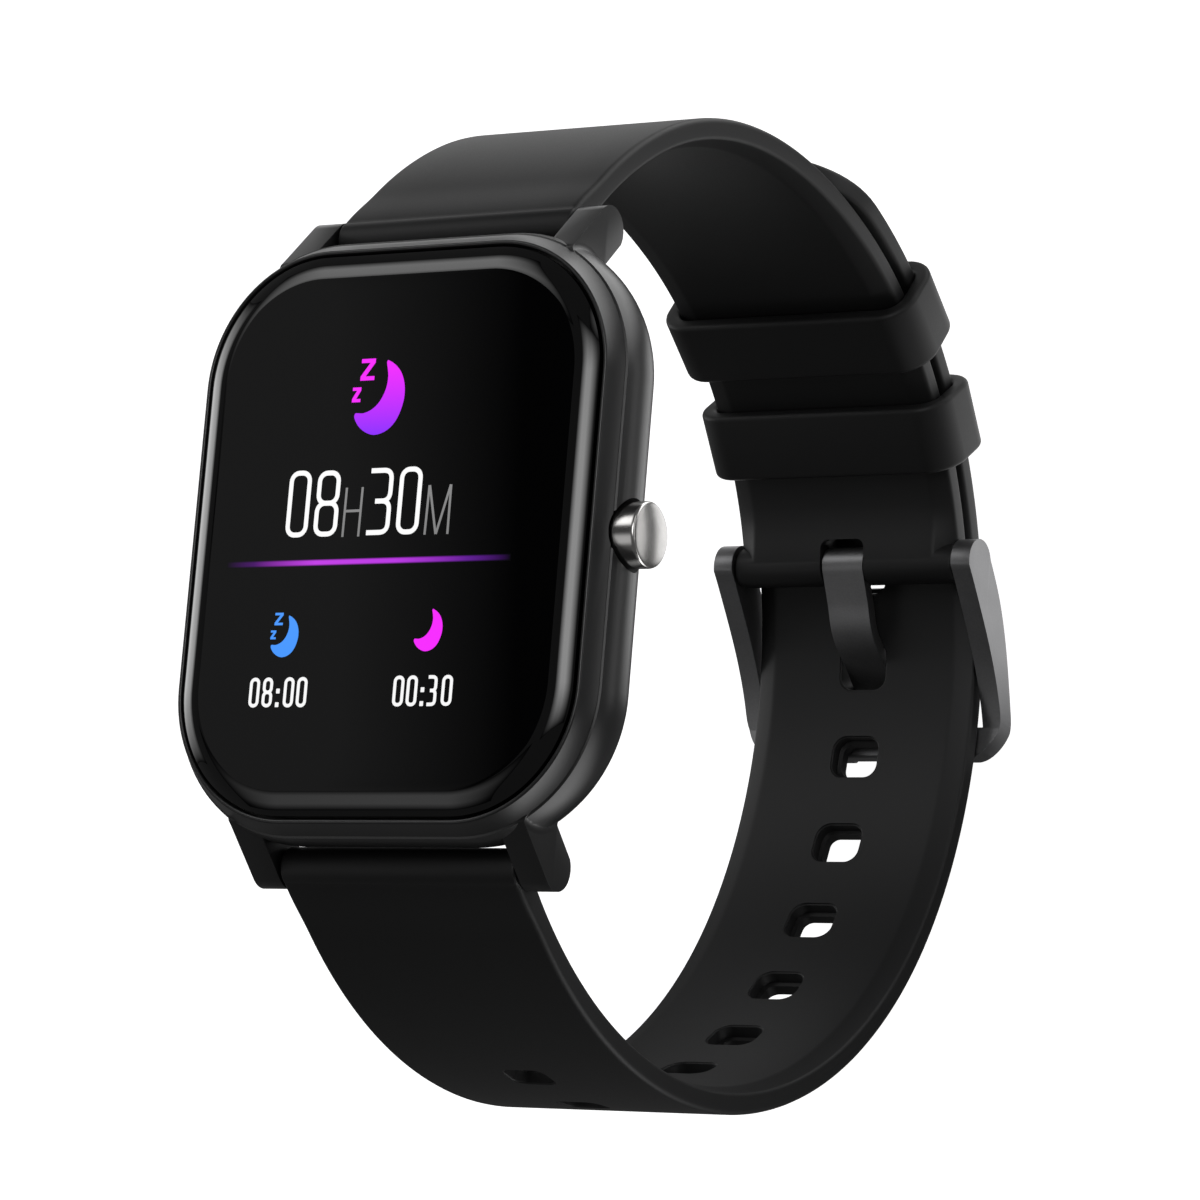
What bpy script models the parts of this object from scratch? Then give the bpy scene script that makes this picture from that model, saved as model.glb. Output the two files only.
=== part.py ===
"""Rounded square smartwatch on a closed two-piece silicone strap with a pin buckle.

Metres. +X is the 3 o'clock side, +Y the 12 o'clock end, +Z points out of the display.
The origin is the centre of the sensor window's flat face, which rests on the wrist.
"""

import math

import bmesh
import bpy
from mathutils import Matrix, Vector

MM = 0.001

# Fits shared by all pieces
FIT = 0.3 * MM
SLIDE_FIT = 0.1 * MM
PASS = 2.0 * MM

# Case outline at the lip round the glass, seen from the front
CASE_WIDTH = 34.9 * MM
CASE_LENGTH = 42.6 * MM
CASE_CORNER = 10.3 * MM
CORNER_STEPS = 7

# Heights, stacked from the wrist face up
WINDOW_PROUD = 0.55 * MM
ISLAND_RISE = 0.75 * MM
FLANGE_THICK = 1.0 * MM
SEAL_THICK = 0.3 * MM
FLOOR_THICK = 1.0 * MM
CELL_ROOM = 2.9 * MM
FRAME_THICK = 0.8 * MM
PANEL_THICK = 1.7 * MM
GLASS_THICK = 1.5 * MM
GLASS_PROUD = 0.65 * MM
FLANGE_LIP = 0.4 * MM

COVER_FACE_Z = WINDOW_PROUD + ISLAND_RISE
FLANGE_TOP_Z = COVER_FACE_Z + FLANGE_THICK
SEAT_Z = FLANGE_TOP_Z + SEAL_THICK
CASE_BOTTOM_Z = FLANGE_TOP_Z - FLANGE_LIP
FLOOR_TOP_Z = SEAT_Z + FLOOR_THICK
FRAME_Z = FLOOR_TOP_Z + CELL_ROOM
FRAME_TOP_Z = FRAME_Z + FRAME_THICK
PANEL_Z = FRAME_TOP_Z + FIT
GLASS_Z = PANEL_Z + PANEL_THICK
GLASS_TOP_Z = GLASS_Z + GLASS_THICK
LEDGE_Z = GLASS_Z - SEAL_THICK
LIP_TOP_Z = GLASS_TOP_Z - GLASS_PROUD

# Case section, as insets from the lip outline
LIP_SET = 0.45 * MM
LIP_WIDTH = 0.25 * MM
LIP_CHAMFER = 0.2 * MM
LIP_INNER = LIP_SET + LIP_WIDTH + LIP_CHAMFER / 2
BAND_DEPTH = 1.45 * MM
BAND_FLARE = 0.2 * MM
BULGE_STEP = 0.35 * MM
BULGE_RADIUS = 5.0 * MM
BULGE_STEPS = 7
WALL_INSET = 2.15 * MM
BOTTOM_LAND = 0.4 * MM
SEAT_WIDTH = 1.05 * MM

CREASE_Z = LIP_TOP_Z - BAND_DEPTH
BULGE_Z = CASE_BOTTOM_Z + BULGE_RADIUS
BULGE_TOP_ANGLE = math.asin((CREASE_Z - BULGE_STEP / 4 - BULGE_Z) / BULGE_RADIUS)
BULGE_INSET = BULGE_RADIUS * math.cos(BULGE_TOP_ANGLE) - BULGE_STEP
REBATE_INSET = BULGE_INSET + BOTTOM_LAND
OPENING_INSET = REBATE_INSET + SEAT_WIDTH
CASE_SIDE_X = CASE_WIDTH / 2 - BULGE_INSET + BULGE_RADIUS

# Glass edge: how far in and how far below the top each ring of the curved edge lies
GLASS_INSET = LIP_INNER + 0.2 * MM
GLASS_EDGE_WIDTH = 1.9 * MM
GLASS_EDGE_DROP = 0.65 * MM
GLASS_EDGE_STEPS = 5
GLASS_EDGE_CURVE = 1.6
GASKET_WIDTH = 1.0 * MM
PANEL_INSET = 3.55 * MM
PANEL_CORNER = 6.5 * MM

# Strap attachment
STRAP_WIDTH = 20.0 * MM
STRAP_THICK = 2.1 * MM
STRAP_TAPER = 0.3 * MM
LUG_CLEAR = 0.15 * MM
LUG_WIDTH = 2.3 * MM
LUG_TIP = 1.35 * MM
LUG_SLOPE = math.radians(45)
LUG_BACK = math.radians(-80)
LUG_FILLET = 1.1 * MM
LUG_STEPS = 6
BAR_REACH = 1.8 * MM
BAR_RISE = 2.15 * MM
BAR_KNUCKLE = 1.5 * MM
BAR_RADIUS = 0.85 * MM
BAR_BORE = 0.6 * MM
BAR_TIP = 0.45 * MM
BAR_TIP_REACH = 1.0 * MM
RELEASE_TRAVEL = 1.1 * MM
RELEASE_PLACE = 5.6 * MM
RELEASE_KNOB = 0.35 * MM
RELEASE_PROUD = 0.75 * MM
SPRING_LENGTH = 4.6 * MM
SPRING_WIRE = 0.1 * MM
SPRING_TURNS = 6

LUG_IN_X = STRAP_WIDTH / 2 + LUG_CLEAR
LUG_OUT_X = LUG_IN_X + LUG_WIDTH
BAR_Y = CASE_LENGTH / 2 + BAR_REACH
BAR_Z = CASE_BOTTOM_Z + BAR_RISE

# Strap loop: angles run from straight below the case towards 12 o'clock
LOOP_RADIUS = 36.4 * MM
LOOP_SHIFT = 0.7 * MM
LAYER_GAP = 0.3 * MM
UPPER_SINK = 1.6 * MM
LOWER_SINK = 0.1 * MM
UPPER_SINK_FROM = math.radians(118)
UPPER_SINK_TO = math.radians(68)
LOWER_SINK_AT = math.radians(-80)
LOWER_RISE_TO = math.radians(-32)
TAIL_ANGLE = math.radians(80)
TAIL_CORNER = 8.0 * MM
TAPER_END = math.radians(60)
STRAP_STEP = math.radians(4)
STRAP_BORDER = 1.7 * MM
STRAP_BORDER_DROP = 0.5 * MM
STRAP_EDGE = 0.4 * MM
KNUCKLE_RUN = math.radians(8)
ROLL_PROUD = 0.06 * MM

LOOP_Z = BAR_Z - math.sqrt(LOOP_RADIUS**2 - BAR_Y**2)
UPPER_END = math.hypot(BAR_Y - LOOP_SHIFT, BAR_Z - LOOP_Z) - STRAP_THICK / 2
LOWER_END = math.hypot(BAR_Y + LOOP_SHIFT, BAR_Z - LOOP_Z) - STRAP_THICK / 2
UPPER_BAR_ANGLE = math.pi / 2 + math.atan2(BAR_Z - LOOP_Z, BAR_Y - LOOP_SHIFT)
LOWER_BAR_ANGLE = math.pi / 2 + math.atan2(BAR_Z - LOOP_Z, BAR_Y + LOOP_SHIFT)
UPPER_RADIUS = LOOP_RADIUS - STRAP_THICK / 2 - UPPER_SINK
LOWER_RADIUS = UPPER_RADIUS + STRAP_THICK + LAYER_GAP
TAIL_HALF = (STRAP_WIDTH - STRAP_TAPER) / 2
LUG_SWELL = BAR_KNUCKLE - ROLL_PROUD - STRAP_THICK / 2

# Buckle
PIN_ANGLE = math.radians(17.0)
PIN_KNUCKLE = 1.65 * MM
PIN_RADIUS = 0.75 * MM
ARM_ROUND = 1.9 * MM
ARM_WIDTH = 1.7 * MM
ARM_SLIM_FROM = 0.15
BUCKLE_REACH = 15.6 * MM
BUCKLE_CORNER = 4.0 * MM
CROSSBAR_THICK = 1.9 * MM
CROSSBAR_WIDTH = 2.5 * MM
TANG_WIDTH = 3.4 * MM
TANG_THICK = 1.0 * MM
TANG_RING = 1.5 * MM
TANG_SLOPE = math.radians(27)
TANG_RUN = 5.6 * MM
TANG_LAND = 2.4 * MM
TANG_OVERHANG = 0.9 * MM
NOTCH_DEPTH = 0.95 * MM

PIN_PLACE = UPPER_RADIUS + STRAP_THICK - PIN_KNUCKLE + ROLL_PROUD
PIN_SWELL = 2 * (PIN_KNUCKLE - ROLL_PROUD) - STRAP_THICK
ARM_IN_X = STRAP_WIDTH / 2 + LUG_CLEAR
ARM_OUT_X = ARM_IN_X + ARM_WIDTH
CROSSBAR_PLACE = LOWER_RADIUS + STRAP_THICK + FIT + CROSSBAR_THICK / 2
CROSSBAR_ANGLE = PIN_ANGLE - BUCKLE_REACH / CROSSBAR_PLACE
CROSSBAR_FROM = CROSSBAR_ANGLE + CROSSBAR_WIDTH / 2 / CROSSBAR_PLACE
CROSSBAR_TO = CROSSBAR_ANGLE - CROSSBAR_WIDTH / 2 / CROSSBAR_PLACE

# Holes in the lower strap
HOLE_WIDTH = 4.1 * MM
HOLE_LENGTH = 3.9 * MM
HOLE_CORNER = 1.1 * MM
HOLE_PITCH = 7.6 * MM
HOLES_BELOW = 9
HOLES_ABOVE = 3
HOLE_FROM_PIN = 8.45 * MM

TANG_HOLE_ANGLE = PIN_ANGLE - HOLE_FROM_PIN / LOWER_RADIUS
HOLE_STEP = HOLE_PITCH / LOWER_RADIUS

# Keepers
KEEPER_BAND = 5.7 * MM
KEEPER_WALL = 1.3 * MM
KEEPER_ROUND = 2.7 * MM
KEEPER_ANGLES = {"keeper_inner": math.radians(35.3), "keeper_outer": math.radians(51.1)}

# Button, switch and clip, along X
BUTTON_Z = FRAME_Z - SLIDE_FIT
BUTTON_RADIUS = 2.35 * MM
BUTTON_PROUD = 1.55 * MM
BUTTON_HEAD = 2.05 * MM
BUTTON_CHAMFER = 0.25 * MM
BUTTON_DOME = 0.35 * MM
BUTTON_TRAVEL = 0.35 * MM
RECESS_CLEAR = 0.25 * MM
STEM_RADIUS = 1.0 * MM
STEM_GROOVE = 0.7 * MM
ORING_RADIUS = 0.3 * MM
SEAL_POCKET = 0.8 * MM
CLIP_RADIUS = 1.75 * MM
CLIP_THICK = 0.35 * MM
CLIP_GAP = 1.2 * MM
STEM_PAST_CLIP = 0.45 * MM
SWITCH_HALF = 1.9 * MM
SWITCH_DEPTH = 1.2 * MM
SWITCH_HIGH = 1.8 * MM
PLUNGER_RADIUS = 0.6 * MM
PLUNGER_PROUD = 0.55 * MM
PLUNGER_LENGTH = 1.0 * MM
PLUNGER_GAP = 0.12 * MM
TAB_THICK = 1.4 * MM
TAB_HALF = 2.4 * MM
NOTCH_HALF = 3.0 * MM

CASE_WALL_X = CASE_WIDTH / 2 - WALL_INSET
BUTTON_FACE_X = CASE_SIDE_X + BUTTON_PROUD
BUTTON_BACK_X = BUTTON_FACE_X - BUTTON_HEAD
RECESS_FLOOR_X = BUTTON_BACK_X - BUTTON_TRAVEL - FIT
CLIP_X = CASE_WALL_X - FIT - CLIP_THICK
STEM_END_X = CLIP_X - STEM_PAST_CLIP
SWITCH_FACE_X = STEM_END_X - PLUNGER_GAP - PLUNGER_PROUD
SWITCH_BACK_X = SWITCH_FACE_X - SWITCH_DEPTH

# Inner pieces
FRAME_INSET = WALL_INSET + FIT
SCREW_HEAD = 1.0 * MM
SCREW_HEAD_HIGH = 0.45 * MM
SCREW_SHANK = 0.45 * MM
SCREW_LENGTH = 2.4 * MM
SCREW_MARGIN = 1.6 * MM
BOSS_RADIUS = 1.5 * MM
BOARD_THICK = 0.8 * MM
BOARD_LENGTH = 13.3 * MM
FLEX_ROOM = 2.45 * MM
CELL_END_ROOM = 3.15 * MM
CELL_THICK = 2.85 * MM
CAN_MARGIN = 0.4 * MM
CAN_END_MARGIN = 1.2 * MM
CAN_HIGH = 1.6 * MM
CAN_WALL = 0.3 * MM
MOTOR_RADIUS = 4.0 * MM
MOTOR_THICK = 2.4 * MM
FLEX_HALF = 4.5 * MM
FLEX_THICK = 0.16 * MM
FLEX_LAP = 3.0 * MM
FLEX_FOOT = 1.0 * MM

BOSS_SHIFT = (CASE_CORNER - FRAME_INSET - SCREW_MARGIN) * math.sqrt(0.5)
BOSS_X = CASE_WIDTH / 2 - CASE_CORNER + BOSS_SHIFT
BOSS_Y = CASE_LENGTH / 2 - CASE_CORNER + BOSS_SHIFT
BOARD_HALF = BOSS_X - BOSS_RADIUS - 1.5 * FIT
BOARD_HIGH_Y = CASE_LENGTH / 2 - WALL_INSET - FLEX_ROOM
BOARD_LOW_Y = BOARD_HIGH_Y - BOARD_LENGTH
CELL_HALF = BOSS_X - BOSS_RADIUS - 2 * FIT
CELL_LOW_Y = WALL_INSET + CELL_END_ROOM - CASE_LENGTH / 2
CELL_HIGH_Y = BOARD_LOW_Y - 2 * FIT
MOTOR_X = -BOARD_HALF / 2 - CAN_WALL
MOTOR_Y = (BOARD_LOW_Y + BOARD_HIGH_Y) / 2

# Back cover and sensor
COVER_FIT = 0.3 * MM
COVER_CROWN = 1.5 * MM
SPIGOT_FIT = 0.2 * MM
SPIGOT_HIGH = 0.7 * MM
ISLAND_RADIUS = 8.8 * MM
ISLAND_DRAFT = 0.6 * MM
WINDOW_RADIUS = 6.9 * MM
WINDOW_THICK = 0.9 * MM
WINDOW_CHAMFER = 0.2 * MM
SENSOR_FLOOR = 0.6 * MM
SENSOR_RADIUS = 6.35 * MM
SENSOR_THICK = 0.6 * MM
SENSOR_STEP = 0.75 * MM
APERTURE_RADIUS = 1.35 * MM
APERTURE_SPREAD = 3.1 * MM
LED_HALF = 0.8 * MM
LED_HIGH = 0.65 * MM
DIODE_HALF = 1.0 * MM
CONTACT_SPREAD = 2.0 * MM
CONTACT_FROM_END = 10.0 * MM
CONTACT_HEAD = 1.05 * MM
CONTACT_PROUD = 0.1 * MM
CONTACT_HEAD_HIGH = 0.7 * MM
CONTACT_SHANK = 0.55 * MM
CONTACT_PAST = 0.25 * MM

CONTACT_Y = CONTACT_FROM_END - CASE_LENGTH / 2
WELL_Z = WINDOW_THICK
SENSOR_FLOOR_Z = WELL_Z + SENSOR_FLOOR
SPIGOT_TOP_Z = FLANGE_TOP_Z + SPIGOT_HIGH
BOARD_Z = FRAME_Z - BOARD_THICK

SMOOTH_BELOW = math.radians(34)
FINE = 24
PLAIN = 14

FINISHES = {
    "satin_black_case": ((0.012, 0.012, 0.013), 0.32, 0.0),
    "cover_glass": ((0.004, 0.004, 0.005), 0.05, 0.0),
    "polished_steel": ((0.62, 0.62, 0.63), 0.2, 1.0),
    "black_silicone": ((0.011, 0.011, 0.012), 0.55, 0.0),
    "dark_buckle_metal": ((0.06, 0.06, 0.063), 0.42, 1.0),
    "bar_steel": ((0.45, 0.45, 0.46), 0.3, 1.0),
    "seal_rubber": ((0.02, 0.02, 0.02), 0.7, 0.0),
    "display_laminate": ((0.02, 0.02, 0.025), 0.25, 0.0),
    "circuit_board": ((0.01, 0.09, 0.04), 0.45, 0.0),
    "tin_plate": ((0.5, 0.5, 0.49), 0.38, 1.0),
    "cell_foil": ((0.35, 0.36, 0.38), 0.35, 1.0),
    "frame_plastic": ((0.06, 0.06, 0.065), 0.5, 0.0),
    "gold_contact": ((0.83, 0.6, 0.24), 0.25, 1.0),
    "back_plastic": ((0.014, 0.014, 0.015), 0.4, 0.0),
    "sensor_resin": ((0.02, 0.02, 0.024), 0.12, 0.0),
    "flex_film": ((0.45, 0.2, 0.04), 0.35, 0.0),
    "lamp_resin": ((0.7, 0.72, 0.6), 0.3, 0.0),
}

# Outlines in (Y, Z) stood up so that they run along X
SIDEWAYS = Matrix(((0, 0, 1, 0), (1, 0, 0, 0), (0, 1, 0, 0), (0, 0, 0, 1)))
ALONG_X = Matrix.Rotation(math.pi / 2, 4, "Y")
FLAT = Matrix.Identity(4)


def clear_scene():
    for obj in list(bpy.data.objects):
        bpy.data.objects.remove(obj, do_unlink=True)


def new_collection(name):
    collection = bpy.data.collections.new(name)
    bpy.context.scene.collection.children.link(collection)
    return collection


def new_finish(name):
    colour, roughness, metallic = FINISHES[name]
    material = bpy.data.materials.new(name)
    material.use_nodes = True
    shader = material.node_tree.nodes["Principled BSDF"]
    shader.inputs["Base Color"].default_value = (*colour, 1)
    shader.inputs["Roughness"].default_value = roughness
    shader.inputs["Metallic"].default_value = metallic
    return material


def smooth_shading():
    """Shades round faces smooth and keeps every edge sharper than SMOOTH_BELOW crisp."""
    group = bpy.data.node_groups.new("smooth_by_angle", "GeometryNodeTree")
    group.interface.new_socket("Geometry", in_out="INPUT", socket_type="NodeSocketGeometry")
    group.interface.new_socket("Geometry", in_out="OUTPUT", socket_type="NodeSocketGeometry")
    start = group.nodes.new("NodeGroupInput")
    end = group.nodes.new("NodeGroupOutput")
    faces = group.nodes.new("GeometryNodeSetShadeSmooth")
    edges = group.nodes.new("GeometryNodeSetShadeSmooth")
    edges.domain = "EDGE"
    edges.inputs["Shade Smooth"].default_value = False
    angle = group.nodes.new("GeometryNodeInputMeshEdgeAngle")
    sharp = group.nodes.new("FunctionNodeCompare")
    sharp.operation = "GREATER_THAN"
    sharp.inputs["B"].default_value = SMOOTH_BELOW
    group.links.new(start.outputs["Geometry"], faces.inputs["Geometry"])
    group.links.new(faces.outputs["Geometry"], edges.inputs["Geometry"])
    group.links.new(angle.outputs["Unsigned Angle"], sharp.inputs["A"])
    group.links.new(sharp.outputs["Result"], edges.inputs["Selection"])
    group.links.new(edges.outputs["Geometry"], end.inputs["Geometry"])
    for obj in PARTS.objects:
        obj.modifiers.new("smooth_by_angle", "NODES").node_group = group


clear_scene()
PARTS = new_collection("smartwatch")
TOOLS = new_collection("smartwatch_cutters")
MATERIALS = {name: new_finish(name) for name in FINISHES}


def solid(name, mesh, finish):
    """Links a mesh as a piece with the named finish, or as a hidden helper when there is none."""
    obj = bpy.data.objects.new(name, mesh)
    if finish is None:
        TOOLS.objects.link(obj)
        obj.hide_render = True
        obj.display_type = "WIRE"
        return obj
    PARTS.objects.link(obj)
    mesh.materials.append(MATERIALS[finish])
    return obj


def mesh_from(bm, name):
    bmesh.ops.remove_doubles(bm, verts=bm.verts, dist=0.0005 * MM)
    bmesh.ops.recalc_face_normals(bm, faces=bm.faces)
    mesh = bpy.data.meshes.new(name)
    bm.to_mesh(mesh)
    bm.free()
    return mesh


def box(name, low, high, finish=None):
    bm = bmesh.new()
    size = Vector(high) - Vector(low)
    bmesh.ops.create_cube(bm, size=1)
    bmesh.ops.scale(bm, vec=size, verts=bm.verts)
    bmesh.ops.translate(bm, vec=Vector(low) + size / 2, verts=bm.verts)
    return solid(name, mesh_from(bm, name), finish)


def rod(name, radius, low, high, finish=None, segments=PLAIN):
    """Round bar between two points."""
    low, high = Vector(low), Vector(high)
    bm = bmesh.new()
    bmesh.ops.create_cone(
        bm, cap_ends=True, segments=segments, radius1=radius, radius2=radius, depth=(high - low).length
    )
    turn = (high - low).to_track_quat("Z", "Y").to_matrix().to_4x4()
    bmesh.ops.transform(bm, matrix=Matrix.Translation((low + high) / 2) @ turn, verts=bm.verts)
    return solid(name, mesh_from(bm, name), finish)


def turned(name, profile, place, finish=None, segments=FINE, turn=FLAT):
    """Profile of (radius, height), top to bottom down the outer side, spun round the height axis."""
    mesh = bpy.data.meshes.new(name)
    points = [(radius, 0, height) for radius, height in profile]
    edges = [(i, i + 1) for i in range(len(points) - 1)]
    if profile[0][0] > 0 and profile[-1][0] > 0:
        edges.append((len(points) - 1, 0))
    mesh.from_pydata(points, edges, [])
    obj = solid(name, mesh, finish)
    obj.matrix_world = Matrix.Translation(place) @ turn
    screw = obj.modifiers.new("spin", "SCREW")
    screw.steps = segments
    screw.render_steps = segments
    screw.use_merge_vertices = True
    screw.merge_threshold = 0.001 * MM
    screw.use_smooth_shade = False
    return obj


def prism(name, outlines, low, high, finish=None, frame=FLAT):
    """Flat outline, with any holes after it, raised from low to high along the frame's own Z."""
    curve = bpy.data.curves.new(name, "CURVE")
    curve.dimensions = "2D"
    curve.fill_mode = "BOTH"
    curve.extrude = (high - low) / 2
    for outline in outlines:
        spline = curve.splines.new("POLY")
        spline.points.add(len(outline) - 1)
        for point, (x, y) in zip(spline.points, outline):
            point.co = (x, y, 0, 1)
        spline.use_cyclic_u = True
    guide = bpy.data.objects.new(name + "_outline", curve)
    TOOLS.objects.link(guide)
    bpy.context.view_layer.update()
    flat = bpy.data.meshes.new_from_object(guide.evaluated_get(bpy.context.evaluated_depsgraph_get()))
    bpy.data.objects.remove(guide, do_unlink=True)
    bm = bmesh.new()
    bm.from_mesh(flat)
    bpy.data.meshes.remove(flat)
    bmesh.ops.translate(bm, vec=(0, 0, (low + high) / 2), verts=bm.verts)
    bmesh.ops.transform(bm, matrix=frame, verts=bm.verts)
    return solid(name, mesh_from(bm, name), finish)


def loft(name, rings, finish=None, around=False):
    """Skin over rings of equal count: capped at both ends, or closed on itself."""
    bm = bmesh.new()
    rows = [[bm.verts.new(point) for point in ring] for ring in rings]
    pairs = list(zip(rows, rows[1:]))
    if around:
        pairs.append((rows[-1], rows[0]))
    for row, after in pairs:
        for i in range(len(row)):
            j = (i + 1) % len(row)
            bm.faces.new((row[i], row[j], after[j], after[i]))
    if not around:
        bm.faces.new(rows[0])
        bm.faces.new(rows[-1])
    return solid(name, mesh_from(bm, name), finish)


def boolean(obj, other, operation):
    modifier = obj.modifiers.new(operation.lower() + "_" + other.name, "BOOLEAN")
    modifier.operation = operation
    modifier.solver = "EXACT"
    modifier.object = other
    return obj


def cut(obj, *others):
    for other in others:
        boolean(obj, other, "DIFFERENCE")
    return obj


def join(obj, *others):
    for other in others:
        boolean(obj, other, "UNION")
    return obj


def mirrored(obj, x=False, y=False):
    """Repeats a helper on the other side of the case."""
    mirror = obj.modifiers.new("other_side", "MIRROR")
    mirror.use_axis = (x, y, False)
    mirror.use_mirror_merge = False
    return obj


def softened(obj, width, segments=1, angle=40):
    bevel = obj.modifiers.new("soft_edge", "BEVEL")
    bevel.width = width
    bevel.segments = segments
    bevel.limit_method = "ANGLE"
    bevel.angle_limit = math.radians(angle)
    return obj


def hung_at(obj, pivot):
    """Moves a piece's origin to a point on its joint axis, leaving its shape in place."""
    obj.data.transform(Matrix.Translation(-Vector(pivot)))
    obj.location = pivot
    return obj


def arc(centre, radius, start, end, steps):
    turns = [start + (end - start) * i / steps for i in range(steps + 1)]
    return [(centre[0] + radius * math.cos(a), centre[1] + radius * math.sin(a)) for a in turns]


def rounded(half_x, half_y, corner, steps=CORNER_STEPS, centre=(0, 0)):
    """Rounded rectangle, anticlockwise from its +X, +Y corner."""
    points = []
    for quarter, (sx, sy) in enumerate(((1, 1), (-1, 1), (-1, -1), (1, -1))):
        at = (centre[0] + sx * (half_x - corner), centre[1] + sy * (half_y - corner))
        points += arc(at, corner, quarter * math.pi / 2, (quarter + 1) * math.pi / 2, steps)
    return points


def rounded_span(low, high, corner, steps=3):
    half_x, half_y = (high[0] - low[0]) / 2, (high[1] - low[1]) / 2
    return rounded(half_x, half_y, corner, steps, ((high[0] + low[0]) / 2, (high[1] + low[1]) / 2))


def case_outline(inset):
    return rounded(CASE_WIDTH / 2 - inset, CASE_LENGTH / 2 - inset, CASE_CORNER - inset)


def case_ring(inset, z):
    return [(x, y, z) for x, y in case_outline(inset)]


def smooth_step(low, high, value):
    t = min(max((value - low) / (high - low), 0), 1)
    return t * t * (3 - 2 * t)


def on_loop(angle, radius):
    """(Y, Z) of a point of the strap loop."""
    return (LOOP_SHIFT + radius * math.sin(angle), LOOP_Z - radius * math.cos(angle))


def across_loop(angle, radius):
    """Frame at a point of the loop: X across the strap, Y outwards, Z along the strap."""
    y, z = on_loop(angle, radius)
    sin, cos = math.sin(angle), math.cos(angle)
    return Matrix(((1, 0, 0, 0), (0, sin, cos, y), (0, -cos, sin, z), (0, 0, 0, 1)))


def through_loop(angle, radius):
    """Frame at a point of the loop: X across the strap, Y along the strap, Z inwards."""
    y, z = on_loop(angle, radius)
    sin, cos = math.sin(angle), math.cos(angle)
    return Matrix(((1, 0, 0, 0), (0, cos, -sin, y), (0, sin, cos, z), (0, 0, 0, 1)))


def bulge_section():
    """Convex side of the case, from under the crease to the bottom land."""
    angles = [
        BULGE_TOP_ANGLE + (-math.pi / 2 - BULGE_TOP_ANGLE) * i / BULGE_STEPS for i in range(BULGE_STEPS + 1)
    ]
    return [
        (BULGE_INSET - BULGE_RADIUS * math.cos(a), BULGE_Z + BULGE_RADIUS * math.sin(a)) for a in angles
    ]


def lug_side():
    """Side of one lug in (Y, Z): sloped front, round tip, back running up into the case."""
    tip = (BAR_Y, BAR_Z)
    front = (tip[0] + LUG_TIP * math.cos(LUG_SLOPE), tip[1] + LUG_TIP * math.sin(LUG_SLOPE))
    top_z = LEDGE_Z - FIT
    root_y = CASE_LENGTH / 2 - WALL_INSET * 1.2
    return [
        (root_y, top_z),
        (front[0] - (top_z - front[1]) / math.tan(LUG_SLOPE), top_z),
        *arc(tip, LUG_TIP, LUG_SLOPE, LUG_BACK, 7),
        (CASE_LENGTH / 2 - BULGE_STEP * 2, BAR_Z - BULGE_STEP / 2),
        (root_y, BAR_Z + LUG_TIP / 2),
    ]


def case_inset(z):
    """Inset of the case's outer side at a height, band or bulge."""
    if z > CREASE_Z:
        return -BAND_FLARE
    return BULGE_INSET - math.sqrt(BULGE_RADIUS**2 - (z - BULGE_Z) ** 2)


def lug_plan(z):
    """Lug from the front at one height: straight sides, and a fillet that follows the case's corner."""
    low_y, high_y = CASE_LENGTH / 2 - 1.5 * WALL_INSET, BAR_Y + 2 * LUG_TIP
    centre = Vector((CASE_WIDTH / 2 - CASE_CORNER, CASE_LENGTH / 2 - CASE_CORNER))
    reach = CASE_CORNER - case_inset(z) + LUG_FILLET - SLIDE_FIT
    bend_x = LUG_OUT_X + LUG_FILLET
    bend_y = centre.y + math.sqrt(reach**2 - (bend_x - centre.x) ** 2)
    touch = math.atan2(centre.y - bend_y, centre.x - bend_x) + 2 * math.pi
    fillet = arc((bend_x, bend_y), LUG_FILLET, touch, math.pi, 4)
    base = [(LUG_IN_X, low_y), (LUG_OUT_X, low_y)]
    return [(x, y, z) for x, y in [*base, *fillet, (LUG_OUT_X, high_y), (LUG_IN_X, high_y)]]


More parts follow.
